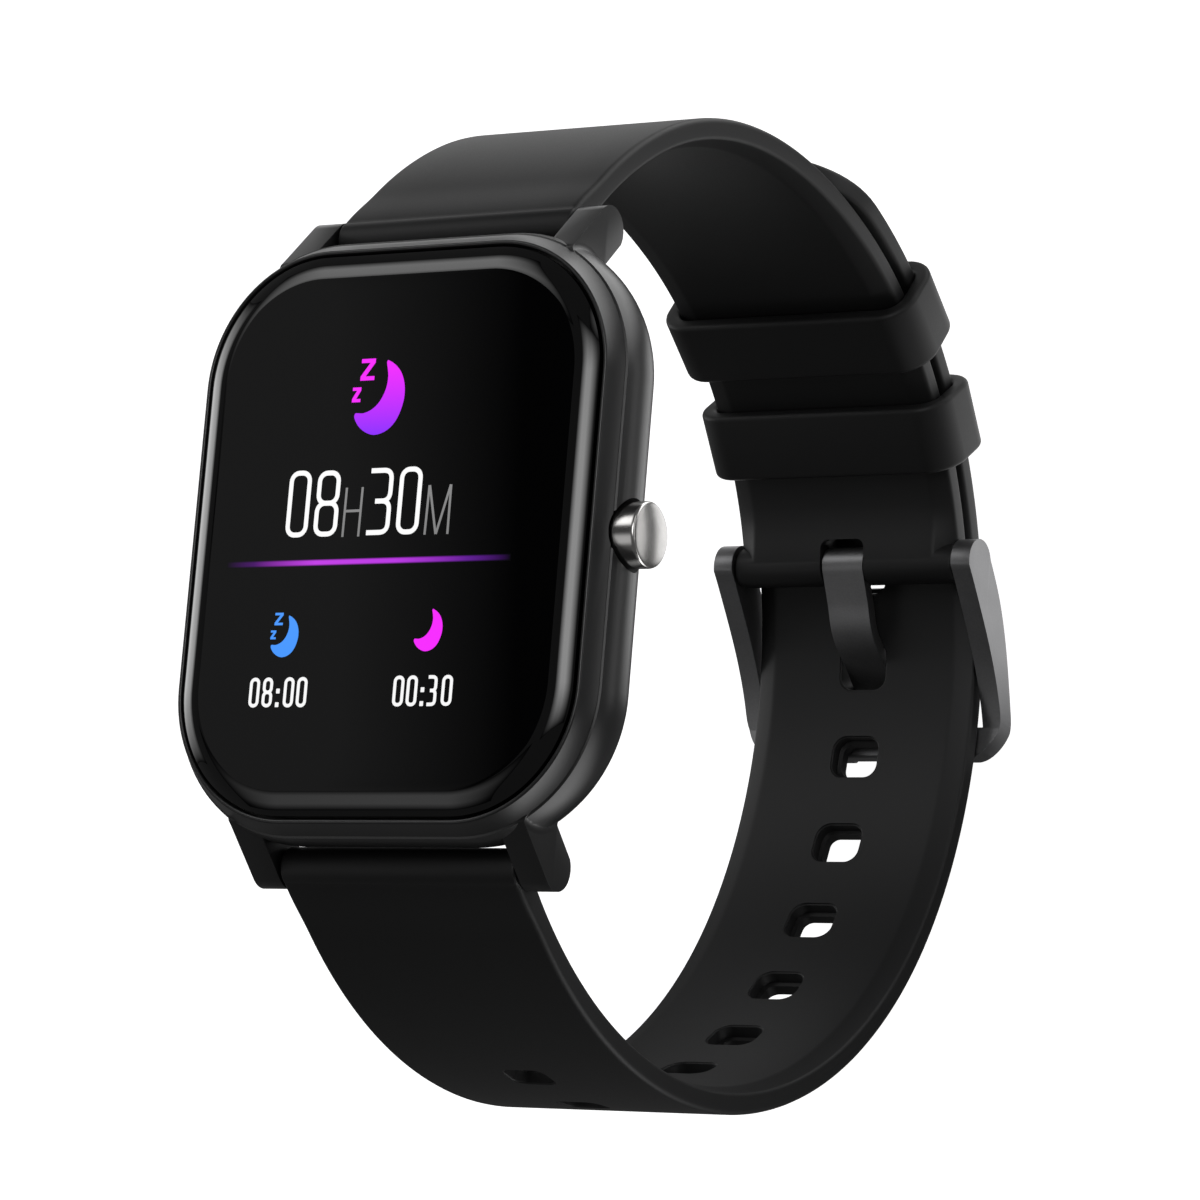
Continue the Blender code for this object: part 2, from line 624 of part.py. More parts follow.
def build_case():
    section = [
        (LIP_INNER, LIP_TOP_Z),
        (LIP_SET + LIP_CHAMFER / 2, LIP_TOP_Z),
        (LIP_SET, LIP_TOP_Z - LIP_CHAMFER),
        (-BAND_FLARE, CREASE_Z),
        *bulge_section(),
        (REBATE_INSET, CASE_BOTTOM_Z),
        (REBATE_INSET, SEAT_Z),
        (OPENING_INSET, SEAT_Z),
        (OPENING_INSET, FLOOR_TOP_Z),
        (WALL_INSET, FLOOR_TOP_Z),
        (WALL_INSET, LEDGE_Z),
        (LIP_INNER, LEDGE_Z),
    ]
    case = loft("case_body", [case_ring(inset, z) for inset, z in section], "satin_black_case", around=True)
    lug = prism("lug", [lug_side()], LUG_IN_X - PASS, LUG_OUT_X + 2 * LUG_FILLET, frame=SIDEWAYS)
    low_z, high_z = BAR_Z - LUG_TIP - FIT, LEDGE_Z
    plan = loft("lug_plan", [lug_plan(low_z + (high_z - low_z) * i / LUG_STEPS) for i in range(LUG_STEPS + 1)])
    boolean(lug, plan, "INTERSECT")
    mirrored(lug, x=True, y=True)
    join(case, lug)
    boss = rod("boss", BOSS_RADIUS, (BOSS_X, BOSS_Y, FLOOR_TOP_Z - FIT), (BOSS_X, BOSS_Y, FRAME_Z))
    pilot = rod(
        "pilot_hole",
        SCREW_SHANK + SLIDE_FIT,
        (BOSS_X, BOSS_Y, FRAME_TOP_Z - SCREW_LENGTH - FIT),
        (BOSS_X, BOSS_Y, FRAME_TOP_Z),
    )
    join(case, mirrored(boss, x=True, y=True))
    cut(case, mirrored(pilot, x=True, y=True))
    bar_hole = rod(
        "bar_hole",
        BAR_TIP + SLIDE_FIT,
        (LUG_IN_X - FIT, BAR_Y, BAR_Z),
        (STRAP_WIDTH / 2 + BAR_TIP_REACH + FIT, BAR_Y, BAR_Z),
    )
    cut(case, mirrored(bar_hole, x=True, y=True))
    recess = turned(
        "button_recess",
        [
            (0, CASE_SIDE_X + PASS),
            (BUTTON_RADIUS + RECESS_CLEAR, CASE_SIDE_X + PASS),
            (BUTTON_RADIUS + RECESS_CLEAR, RECESS_FLOOR_X),
            (STEM_RADIUS + 2 * ORING_RADIUS + SLIDE_FIT, RECESS_FLOOR_X),
            (STEM_RADIUS + 2 * ORING_RADIUS + SLIDE_FIT, RECESS_FLOOR_X - SEAL_POCKET),
            (STEM_RADIUS + SLIDE_FIT, RECESS_FLOOR_X - SEAL_POCKET),
            (STEM_RADIUS + SLIDE_FIT, CASE_WALL_X - PASS / 2),
            (0, CASE_WALL_X - PASS / 2),
        ],
        (0, 0, BUTTON_Z),
        turn=ALONG_X,
    )
    cut(case, recess)


def build_glass():
    edge = []
    for i in range(GLASS_EDGE_STEPS + 1):
        t = i / GLASS_EDGE_STEPS
        drop = GLASS_EDGE_DROP * (1 - t) ** GLASS_EDGE_CURVE
        edge.append((GLASS_INSET + GLASS_EDGE_WIDTH * t, GLASS_TOP_Z - drop))
    rings = [(GLASS_INSET + LIP_CHAMFER, GLASS_Z), (GLASS_INSET, GLASS_Z + LIP_CHAMFER), *edge]
    loft("display_glass", [case_ring(inset, z) for inset, z in rings], "cover_glass")
    gasket = [
        (GLASS_INSET, LEDGE_Z),
        (GLASS_INSET, GLASS_Z),
        (GLASS_INSET + GASKET_WIDTH, GLASS_Z),
        (GLASS_INSET + GASKET_WIDTH, LEDGE_Z),
    ]
    loft("lens_gasket", [case_ring(inset, z) for inset, z in gasket], "seal_rubber", around=True)
    half_x, half_y = CASE_WIDTH / 2 - PANEL_INSET, CASE_LENGTH / 2 - PANEL_INSET
    prism("display_panel", [rounded(half_x, half_y, PANEL_CORNER, 5)], PANEL_Z, GLASS_Z, "display_laminate")


def build_inner_frame():
    frame = prism("inner_frame", [case_outline(FRAME_INSET)], FRAME_Z, FRAME_TOP_Z, "frame_plastic")
    notch = box(
        "switch_notch",
        (SWITCH_BACK_X - TAB_THICK / 2, -NOTCH_HALF, FRAME_Z - PASS),
        (CASE_WALL_X + PASS, NOTCH_HALF, FRAME_TOP_Z + PASS),
    )
    tab = box(
        "switch_tab",
        (SWITCH_BACK_X - TAB_THICK, -TAB_HALF, BUTTON_Z - SWITCH_HIGH / 2 - FIT),
        (SWITCH_BACK_X, TAB_HALF, FRAME_TOP_Z),
    )
    flex_notch = box(
        "flex_notch",
        (-FLEX_HALF - FIT, BOARD_HIGH_Y, FRAME_Z - PASS),
        (FLEX_HALF + FIT, CASE_LENGTH / 2, FRAME_TOP_Z + PASS),
    )
    join(cut(frame, notch, flex_notch), tab)
    for number, (side, end) in enumerate(((1, 1), (-1, 1), (-1, -1), (1, -1)), 1):
        x, y = side * BOSS_X, end * BOSS_Y
        sink = turned(
            f"screw_sink_{number}",
            [
                (0, PASS),
                (SCREW_HEAD + SLIDE_FIT, PASS),
                (SCREW_HEAD + SLIDE_FIT, -SCREW_HEAD_HIGH),
                (SCREW_SHANK + SLIDE_FIT, -SCREW_HEAD_HIGH),
                (SCREW_SHANK + SLIDE_FIT, -FRAME_THICK - PASS),
                (0, -FRAME_THICK - PASS),
            ],
            (x, y, FRAME_TOP_Z),
            segments=PLAIN,
        )
        cut(frame, sink)
        turned(
            f"frame_screw_{number}",
            [
                (0, 0),
                (SCREW_HEAD, 0),
                (SCREW_HEAD, -SCREW_HEAD_HIGH),
                (SCREW_SHANK, -SCREW_HEAD_HIGH),
                (SCREW_SHANK, -SCREW_LENGTH),
                (0, -SCREW_LENGTH),
            ],
            (x, y, FRAME_TOP_Z),
            "bar_steel",
            PLAIN,
        )


def build_electronics():
    board = rounded_span((-BOARD_HALF, BOARD_LOW_Y), (BOARD_HALF, BOARD_HIGH_Y), FIT * 3)
    prism("main_board", [board], BOARD_Z, FRAME_Z, "circuit_board")
    low = Vector((CAN_MARGIN, BOARD_LOW_Y + CAN_END_MARGIN, BOARD_Z - CAN_HIGH))
    high = Vector((BOARD_HALF - CAN_MARGIN, BOARD_HIGH_Y - CAN_END_MARGIN, BOARD_Z))
    wall = Vector((CAN_WALL, CAN_WALL, CAN_WALL))
    can = box("shield_can", low, high, "tin_plate")
    room = box("can_room", low + wall, high - wall + Vector((0, 0, PASS)))
    cut(can, room)
    cell_low = (-CELL_HALF, CELL_LOW_Y, FRAME_Z - CELL_THICK)
    cell = box("battery", cell_low, (CELL_HALF, CELL_HIGH_Y, FRAME_Z), "cell_foil")
    softened(cell, FIT * 1.5, 2)
    motor = rod(
        "vibration_motor",
        MOTOR_RADIUS,
        (MOTOR_X, MOTOR_Y, BOARD_Z - MOTOR_THICK),
        (MOTOR_X, MOTOR_Y, BOARD_Z),
        "tin_plate",
        FINE,
    )
    softened(motor, FIT, 1)
    prism("display_flex", [flex_side()], -FLEX_HALF, FLEX_HALF, "flex_film", SIDEWAYS)


def flex_side():
    """Film folded from the display's back round the frame's edge to the board's underside."""
    top_z = PANEL_Z - FLEX_THICK / 2
    foot_z = BOARD_Z - FLEX_THICK / 2
    middle = (BOARD_HIGH_Y + FIT, (top_z + foot_z) / 2)
    bend = (top_z - foot_z) / 2
    outer = arc(middle, bend + FLEX_THICK / 2, math.pi / 2, -math.pi / 2, 10)
    inner = arc(middle, bend - FLEX_THICK / 2, -math.pi / 2, math.pi / 2, 10)
    start_y, foot_y = middle[0] - FLEX_LAP, middle[0] - FLEX_FOOT
    half = FLEX_THICK / 2
    return [
        (start_y, top_z + half),
        *outer,
        (foot_y, foot_z - half),
        (foot_y, foot_z + half),
        *inner,
        (start_y, top_z - half),
    ]


def build_back():
    flange_inset = REBATE_INSET + COVER_FIT
    spigot_inset = OPENING_INSET + SPIGOT_FIT
    crown = FLANGE_THICK - FLANGE_LIP
    rings = [
        (flange_inset + COVER_CROWN, COVER_FACE_Z),
        (flange_inset + COVER_CROWN / 3, COVER_FACE_Z + crown / 3),
        (flange_inset, COVER_FACE_Z + crown),
        (flange_inset, FLANGE_TOP_Z),
        (spigot_inset, FLANGE_TOP_Z),
        (spigot_inset, SPIGOT_TOP_Z),
    ]
    cover = loft("back_cover", [case_ring(inset, z) for inset, z in rings], "back_plastic")
    island = turned(
        "sensor_island",
        [
            (0, FLANGE_TOP_Z),
            (ISLAND_RADIUS + ISLAND_DRAFT, FLANGE_TOP_Z),
            (ISLAND_RADIUS, COVER_FACE_Z),
            (ISLAND_RADIUS - ISLAND_DRAFT, WINDOW_PROUD),
            (0, WINDOW_PROUD),
        ],
        (0, 0, 0),
    )
    well = rod("window_well", WINDOW_RADIUS + FIT, (0, 0, -PASS), (0, 0, WELL_Z), segments=FINE)
    pocket = turned(
        "sensor_pocket",
        [
            (0, SPIGOT_TOP_Z + PASS),
            (SENSOR_RADIUS + FIT, SPIGOT_TOP_Z + PASS),
            (SENSOR_RADIUS + FIT, FLANGE_TOP_Z),
            (SENSOR_RADIUS - SENSOR_STEP, FLANGE_TOP_Z),
            (SENSOR_RADIUS - SENSOR_STEP, SENSOR_FLOOR_Z),
            (0, SENSOR_FLOOR_Z),
        ],
        (0, 0, 0),
    )
    join(cover, island)
    cut(cover, well, pocket)
    for spot in (-1, 0, 1):
        x = spot * APERTURE_SPREAD
        low, high = (x, 0, WELL_Z - FIT), (x, 0, SENSOR_FLOOR_Z + FIT)
        cut(cover, rod(f"light_hole_{spot + 2}", APERTURE_RADIUS, low, high))
    seal = [
        (flange_inset, FLANGE_TOP_Z),
        (flange_inset, SEAT_Z),
        (OPENING_INSET - SPIGOT_FIT, SEAT_Z),
        (OPENING_INSET - SPIGOT_FIT, FLANGE_TOP_Z),
    ]
    loft("back_seal", [case_ring(inset, z) for inset, z in seal], "seal_rubber", around=True)
    turned(
        "sensor_window",
        [
            (0, WINDOW_THICK),
            (WINDOW_RADIUS, WINDOW_THICK),
            (WINDOW_RADIUS, WINDOW_CHAMFER),
            (WINDOW_RADIUS - WINDOW_CHAMFER, 0),
            (0, 0),
        ],
        (0, 0, 0),
        "sensor_resin",
    )
    board_top = (0, 0, FLANGE_TOP_Z + SENSOR_THICK)
    rod("sensor_board", SENSOR_RADIUS, (0, 0, FLANGE_TOP_Z), board_top, "circuit_board", FINE)
    for number, side in enumerate((-1, 1), 1):
        x = side * APERTURE_SPREAD
        box(
            f"sensor_led_{number}",
            (x - LED_HALF, -LED_HALF, FLANGE_TOP_Z - LED_HIGH),
            (x + LED_HALF, LED_HALF, FLANGE_TOP_Z),
            "lamp_resin",
        )
        contact(cover, number, side * CONTACT_SPREAD)
    box(
        "photodiode",
        (-DIODE_HALF, -DIODE_HALF, FLANGE_TOP_Z - LED_HIGH),
        (DIODE_HALF, DIODE_HALF, FLANGE_TOP_Z),
        "sensor_resin",
    )


def contact(cover, number, x):
    """Round charging pad with a shank through the cover."""
    face_z = COVER_FACE_Z - CONTACT_PROUD
    shoulder_z = face_z + CONTACT_HEAD_HIGH
    hole = turned(
        f"contact_hole_{number}",
        [
            (0, SPIGOT_TOP_Z + PASS),
            (CONTACT_SHANK + SLIDE_FIT, SPIGOT_TOP_Z + PASS),
            (CONTACT_SHANK + SLIDE_FIT, shoulder_z),
            (CONTACT_HEAD + SLIDE_FIT, shoulder_z),
            (CONTACT_HEAD + SLIDE_FIT, face_z - PASS),
            (0, face_z - PASS),
        ],
        (x, CONTACT_Y, 0),
        segments=PLAIN,
    )
    cut(cover, hole)
    turned(
        f"charge_contact_{number}",
        [
            (0, SPIGOT_TOP_Z + CONTACT_PAST),
            (CONTACT_SHANK, SPIGOT_TOP_Z + CONTACT_PAST),
            (CONTACT_SHANK, shoulder_z),
            (CONTACT_HEAD, shoulder_z),
            (CONTACT_HEAD, face_z),
            (0, face_z),
        ],
        (x, CONTACT_Y, 0),
        "gold_contact",
        PLAIN,
    )


def build_button():
    axis = (0, 0, BUTTON_Z)
    turned(
        "button_cap",
        [
            (0, BUTTON_FACE_X),
            (BUTTON_RADIUS * 0.5, BUTTON_FACE_X - BUTTON_DOME * 0.25),
            (BUTTON_RADIUS - BUTTON_CHAMFER, BUTTON_FACE_X - BUTTON_DOME),
            (BUTTON_RADIUS, BUTTON_FACE_X - BUTTON_DOME - BUTTON_CHAMFER),
            (BUTTON_RADIUS, BUTTON_BACK_X),
            (STEM_RADIUS, BUTTON_BACK_X),
            (STEM_RADIUS, CLIP_X + CLIP_THICK + SLIDE_FIT / 2),
            (STEM_GROOVE, CLIP_X + CLIP_THICK + SLIDE_FIT / 2),
            (STEM_GROOVE, CLIP_X - SLIDE_FIT / 2),
            (STEM_RADIUS, CLIP_X - SLIDE_FIT / 2),
            (STEM_RADIUS, STEM_END_X),
            (0, STEM_END_X),
        ],
        axis,
        "polished_steel",
        turn=ALONG_X,
    )
    ring_x = RECESS_FLOOR_X - SEAL_POCKET / 2
    ring = arc((STEM_RADIUS + SLIDE_FIT / 2 + ORING_RADIUS, ring_x), ORING_RADIUS, math.pi, -math.pi, 8)
    turned("button_seal", ring[:-1], axis, "seal_rubber", PLAIN, ALONG_X)
    grip = STEM_GROOVE + SLIDE_FIT / 2
    gap_angle = math.asin(CLIP_GAP / 2 / CLIP_RADIUS)
    inner_angle = math.asin(CLIP_GAP / 2 / grip)
    start = -math.pi / 2
    clip = arc((0, BUTTON_Z), CLIP_RADIUS, start + gap_angle, start - gap_angle + 2 * math.pi, 18)
    clip += arc((0, BUTTON_Z), grip, start - inner_angle + 2 * math.pi, start + inner_angle, 14)
    prism("button_clip", [clip], CLIP_X, CLIP_X + CLIP_THICK, "bar_steel", SIDEWAYS)
    switch = box(
        "side_switch",
        (SWITCH_BACK_X, -SWITCH_HALF, BUTTON_Z - SWITCH_HIGH / 2),
        (SWITCH_FACE_X, SWITCH_HALF, BUTTON_Z + SWITCH_HIGH / 2),
        "frame_plastic",
    )
    tip_x = SWITCH_FACE_X + PLUNGER_PROUD
    foot_x = tip_x - PLUNGER_LENGTH
    well = rod(
        "plunger_well",
        PLUNGER_RADIUS + SLIDE_FIT,
        (foot_x - BUTTON_TRAVEL - SLIDE_FIT, 0, BUTTON_Z),
        (SWITCH_FACE_X + PASS / 2, 0, BUTTON_Z),
    )
    cut(switch, well)
    plunger = rod("switch_plunger", PLUNGER_RADIUS, (foot_x, 0, BUTTON_Z), (tip_x, 0, BUTTON_Z), "lamp_resin")
    hung_at(plunger, (foot_x, 0, BUTTON_Z))


def strap_half(angle):
    """Half the strap's width: full at the lugs, a little less round the buckle."""
    return (STRAP_WIDTH - STRAP_TAPER * smooth_step(UPPER_BAR_ANGLE, TAPER_END, abs(angle))) / 2


def upper_base(angle):
    return UPPER_END + (UPPER_RADIUS - UPPER_END) * smooth_step(UPPER_SINK_FROM, UPPER_SINK_TO, angle)


def lower_base(angle):
    if angle < LOWER_SINK_AT:
        return LOWER_END - LOWER_SINK * smooth_step(-LOWER_BAR_ANGLE, LOWER_SINK_AT, angle)
    low = LOWER_END - LOWER_SINK
    return low + (LOWER_RADIUS - low) * smooth_step(LOWER_SINK_AT, LOWER_RISE_TO, angle)


def strap_ring(angle, base, half, thick, sink=0.0):
    """Strap section: flat outside with eased edges, bevelled borders on the wrist side."""
    drop = STRAP_BORDER_DROP * min(1, half / TAIL_HALF)
    border = min(STRAP_BORDER, half / 2)
    section = [
        (half - border, -sink),
        (half - STRAP_EDGE / 2, drop),
        (half, drop + STRAP_EDGE / 2),
        (half, thick - STRAP_EDGE),
        (half - STRAP_EDGE, thick),
    ]
    section += [(-x, height) for x, height in section[::-1]]
    ring = []
    for x, height in section:
        y, z = on_loop(angle, base + height)
        ring.append((x, y, z))
    return ring


def steps_between(start, end):
    count = math.ceil(abs(end - start) / STRAP_STEP)
    return [start + (end - start) * i / count for i in range(count + 1)]


def lug_end(name, side):
    """Bore, knuckle and release window where a strap half hangs on its spring bar."""
    y = side * BAR_Y
    half = STRAP_WIDTH / 2 - ROLL_PROUD
    knuckle = rod(name + "_knuckle", BAR_KNUCKLE, (-half, y, BAR_Z), (half, y, BAR_Z), segments=FINE)
    bore = rod(name + "_bore", BAR_RADIUS + SLIDE_FIT, (-half - PASS, y, BAR_Z), (half + PASS, y, BAR_Z))
    low_x = -RELEASE_PLACE - RELEASE_KNOB - 2 * FIT
    high_x = -RELEASE_PLACE + RELEASE_TRAVEL + RELEASE_KNOB + 2 * FIT
    depth = BAR_RADIUS + BAR_KNUCKLE
    window = box(
        name + "_release_window",
        (low_x, y - RELEASE_KNOB - 2 * FIT, BAR_Z - depth - STRAP_THICK),
        (high_x, y + RELEASE_KNOB + 2 * FIT, BAR_Z),
    )
    return knuckle, bore, window


def build_upper_strap():
    rings = []
    for angle in steps_between(UPPER_BAR_ANGLE, PIN_ANGLE):
        lug_swell = smooth_step(UPPER_BAR_ANGLE - KNUCKLE_RUN, UPPER_BAR_ANGLE, angle) * LUG_SWELL
        pin_swell = smooth_step(PIN_ANGLE + KNUCKLE_RUN, PIN_ANGLE, angle) * PIN_SWELL
        thick, sink = STRAP_THICK + lug_swell, lug_swell + pin_swell
        rings.append(strap_ring(angle, upper_base(angle), strap_half(angle), thick, sink))
    strap = loft("upper_strap", rings, "black_silicone")
    knuckle, bore, window = lug_end("upper", 1)
    y, z = on_loop(PIN_ANGLE, PIN_PLACE)
    roll_half = TAIL_HALF - ROLL_PROUD
    roll = rod("pin_roll", PIN_KNUCKLE, (-roll_half, y, z), (roll_half, y, z), segments=FINE)
    pin_bore = rod("pin_bore", PIN_RADIUS + SLIDE_FIT, (-LUG_OUT_X, y, z), (LUG_OUT_X, y, z))
    slot_half = TANG_WIDTH / 2 + FIT
    slot = prism(
        "tang_slot",
        [rounded_span((-slot_half, -TANG_RING - 3 * PASS), (slot_half, TANG_RING + FIT), slot_half / 2)],
        -2 * PASS,
        2 * PASS,
        frame=through_loop(PIN_ANGLE, PIN_PLACE),
    )
    join(strap, knuckle, roll)
    cut(strap, bore, window, pin_bore, slot)


def build_lower_strap():
    rings = []
    tip_run = TAIL_CORNER / LOWER_RADIUS
    for angle in steps_between(-LOWER_BAR_ANGLE, TAIL_ANGLE - tip_run):
        lug_swell = smooth_step(LOWER_BAR_ANGLE - KNUCKLE_RUN, LOWER_BAR_ANGLE, -angle) * LUG_SWELL
        thick = STRAP_THICK + lug_swell
        rings.append(strap_ring(angle, lower_base(angle), strap_half(angle), thick, lug_swell))
    for step in range(1, 7):
        turn = math.radians(90) * step / 6
        angle = TAIL_ANGLE - tip_run * (1 - math.sin(turn))
        half = TAIL_HALF - TAIL_CORNER * (1 - math.cos(turn))
        rings.append(strap_ring(angle, LOWER_RADIUS, half, STRAP_THICK))
    strap = loft("lower_strap", rings, "black_silicone")
    knuckle, bore, window = lug_end("lower", -1)
    join(strap, knuckle)
    cut(strap, bore, window)
    for number in range(HOLES_BELOW + HOLES_ABOVE + 1):
        angle = TANG_HOLE_ANGLE + (HOLES_ABOVE - number) * HOLE_STEP
        punch = prism(
            f"hole_punch_{number}",
            [rounded(HOLE_WIDTH / 2, HOLE_LENGTH / 2, HOLE_CORNER, 3)],
            -STRAP_THICK * 1.5,
            STRAP_THICK * 1.5,
            frame=through_loop(angle, lower_base(angle) + STRAP_THICK / 2),
        )
        cut(strap, punch)


def build_spring_bar(name, side):
    """Tube with one fixed tip, a sprung pin with a release knob at the other end, and the spring between."""
    y = side * BAR_Y
    half = STRAP_WIDTH / 2 - LUG_CLEAR
    tip_x = STRAP_WIDTH / 2 + BAR_TIP_REACH
    blind_x = RELEASE_TRAVEL
    pin_end_x = blind_x - SPRING_LENGTH
    axis = (0, y, BAR_Z)
    tube = turned(
        "bar_tube_" + name,
        [
            (0, tip_x),
            (BAR_TIP, tip_x),
            (BAR_TIP, half),
            (BAR_RADIUS, half),
            (BAR_RADIUS, -half),
            (BAR_BORE, -half),
            (BAR_BORE, blind_x + FIT),
            (0, blind_x + FIT),
        ],
        axis,
        "bar_steel",
        PLAIN,
        ALONG_X,
    )
    slot_half = RELEASE_KNOB + SLIDE_FIT
    slot = box(
        "bar_slot_" + name,
        (-RELEASE_PLACE - slot_half, y - slot_half, BAR_Z - BAR_RADIUS - PASS),
        (-RELEASE_PLACE + RELEASE_TRAVEL + slot_half, y + slot_half, BAR_Z - BAR_TIP / 2),
    )
    cut(tube, slot)
    pin = turned(
        "bar_pin_" + name,
        [(0, pin_end_x), (BAR_TIP, pin_end_x), (BAR_TIP, -tip_x), (0, -tip_x)],
        axis,
        "bar_steel",
        PLAIN,
        ALONG_X,
    )
    knob_end = (-RELEASE_PLACE, y, BAR_Z - BAR_KNUCKLE - RELEASE_PROUD)
    join(pin, rod("release_knob_" + name, RELEASE_KNOB, knob_end, (-RELEASE_PLACE, y, BAR_Z), segments=12))
    spring(name, pin_end_x + SLIDE_FIT, blind_x + FIT - SLIDE_FIT, y)


def spring(name, low_x, high_x, y):
    """Coil in the bar's bore, made as a wire along a helix."""
    curve = bpy.data.curves.new("bar_spring_" + name, "CURVE")
    curve.dimensions = "3D"
    curve.bevel_depth = SPRING_WIRE
    curve.bevel_resolution = 0
    curve.use_fill_caps = True
    coil = BAR_TIP - SPRING_WIRE / 2
    per_turn = 8
    count = SPRING_TURNS * per_turn
    spline = curve.splines.new("POLY")
    spline.points.add(count)
    for i, point in enumerate(spline.points):
        turn = 2 * math.pi * i / per_turn
        x = low_x + SPRING_WIRE + (high_x - low_x - 2 * SPRING_WIRE) * i / count
        point.co = (x, y + coil * math.cos(turn), BAR_Z + coil * math.sin(turn), 1)
    guide = bpy.data.objects.new("spring_wire_" + name, curve)
    TOOLS.objects.link(guide)
    bpy.context.view_layer.update()
    wire = bpy.data.meshes.new_from_object(guide.evaluated_get(bpy.context.evaluated_depsgraph_get()))
    bpy.data.objects.remove(guide, do_unlink=True)
    bm = bmesh.new()
    bm.from_mesh(wire)
    bpy.data.meshes.remove(wire)
    solid("bar_spring_" + name, mesh_from(bm, "bar_spring_" + name), "bar_steel")


def build_keepers():
    low = UPPER_RADIUS - LAYER_GAP
    high = LOWER_RADIUS + STRAP_THICK + LAYER_GAP
    middle, half_high, half_wide = (low + high) / 2, (high - low) / 2, TAIL_HALF + LAYER_GAP
    for name, angle in KEEPER_ANGLES.items():
        keeper = prism(
            name,
            [
                rounded(half_wide + KEEPER_WALL, half_high + KEEPER_WALL, KEEPER_ROUND, 5),
                rounded(half_wide, half_high, KEEPER_ROUND - KEEPER_WALL, 5),
            ],
            -KEEPER_BAND / 2,
            KEEPER_BAND / 2,
            "black_silicone",
            across_loop(angle, middle),
        )
        hung_at(keeper, (0, LOOP_SHIFT, LOOP_Z))


def arm_outline():
    """Side of the buckle frame: round at the pin, wide along the arm, slim at the crossbar."""
    outer, inner = [], []
    count = 10
    for i in range(count + 1):
        t = i / count
        angle = PIN_ANGLE + (CROSSBAR_FROM - PIN_ANGLE) * t
        place = PIN_PLACE + (CROSSBAR_PLACE - PIN_PLACE) * t
        half = ARM_ROUND + (CROSSBAR_THICK / 2 - ARM_ROUND) * smooth_step(ARM_SLIM_FROM, 1, t)
        outer.append(on_loop(angle, place + half))
        inner.append(on_loop(angle, place - half))
    pin = on_loop(PIN_ANGLE, PIN_PLACE)
    down = PIN_ANGLE - math.pi / 2
    round_end = arc(pin, ARM_ROUND, down + math.pi, down, 8)
    round_foot = CROSSBAR_THICK / 4
    foot = [
        on_loop(CROSSBAR_TO + round_foot / CROSSBAR_PLACE, CROSSBAR_PLACE + CROSSBAR_THICK / 2),
        on_loop(CROSSBAR_TO, CROSSBAR_PLACE + CROSSBAR_THICK / 2 - round_foot),
        on_loop(CROSSBAR_TO, CROSSBAR_PLACE - CROSSBAR_THICK / 2 + round_foot),
        on_loop(CROSSBAR_TO + round_foot / CROSSBAR_PLACE, CROSSBAR_PLACE - CROSSBAR_THICK / 2),
    ]
    return round_end[1:-1] + outer + foot + inner[::-1]


def build_buckle():
    y, z = on_loop(PIN_ANGLE, PIN_PLACE)
    frame = prism("buckle_frame", [arm_outline()], -ARM_OUT_X, ARM_OUT_X, "dark_buckle_metal", SIDEWAYS)
    far = PIN_ANGLE + 3 * ARM_ROUND / PIN_PLACE
    near = CROSSBAR_FROM + SLIDE_FIT / CROSSBAR_PLACE
    low, high = PIN_PLACE - 3 * ARM_ROUND, CROSSBAR_PLACE + 3 * ARM_ROUND
    wedge = [on_loop(near, low), on_loop(near, high), on_loop(far, high), on_loop(far, low)]
    window = prism("buckle_window", [wedge], -ARM_IN_X, ARM_IN_X, frame=SIDEWAYS)
    plan = prism(
        "buckle_plan",
        [buckle_plan_outline()],
        -8 * PASS,
        8 * PASS,
        frame=through_loop(CROSSBAR_ANGLE, CROSSBAR_PLACE),
    )
    boolean(frame, plan, "INTERSECT")
    pin_hole = rod("frame_pin_hole", PIN_RADIUS + SLIDE_FIT, (-LUG_OUT_X, y, z), (LUG_OUT_X, y, z))
    notch_half = TANG_WIDTH / 2 + FIT
    notch = prism(
        "tang_notch",
        [rounded(notch_half, CROSSBAR_WIDTH * 2, FIT)],
        -CROSSBAR_THICK * 2,
        -CROSSBAR_THICK / 2 + NOTCH_DEPTH,
        frame=through_loop(CROSSBAR_ANGLE, CROSSBAR_PLACE),
    )
    cut(frame, window, pin_hole, notch)
    hung_at(frame, (0, y, z))
    rod("buckle_pin", PIN_RADIUS, (-ARM_OUT_X + FIT, y, z), (ARM_OUT_X - FIT, y, z), "bar_steel")
    outline = tang_outline()
    ring_hole = arc((y, z), PIN_RADIUS + SLIDE_FIT, 0, 2 * math.pi, PLAIN)[:-1]
    half = TANG_WIDTH / 2
    tang = prism("buckle_tang", [outline, ring_hole], -half, half, "dark_buckle_metal", SIDEWAYS)
    hung_at(tang, (0, y, z))


def buckle_plan_outline():
    """Frame seen from outside, in (X, along the strap): square at the pin, rounded at the crossbar."""
    low = -CROSSBAR_WIDTH / 2 - FIT
    high = BUCKLE_REACH + 3 * ARM_ROUND
    left = arc((-ARM_OUT_X + BUCKLE_CORNER, low + BUCKLE_CORNER), BUCKLE_CORNER, math.pi, math.pi * 1.5, 5)
    right = arc((ARM_OUT_X - BUCKLE_CORNER, low + BUCKLE_CORNER), BUCKLE_CORNER, math.pi * 1.5, math.pi * 2, 5)
    return left + right + [(ARM_OUT_X, high), (-ARM_OUT_X, high)]


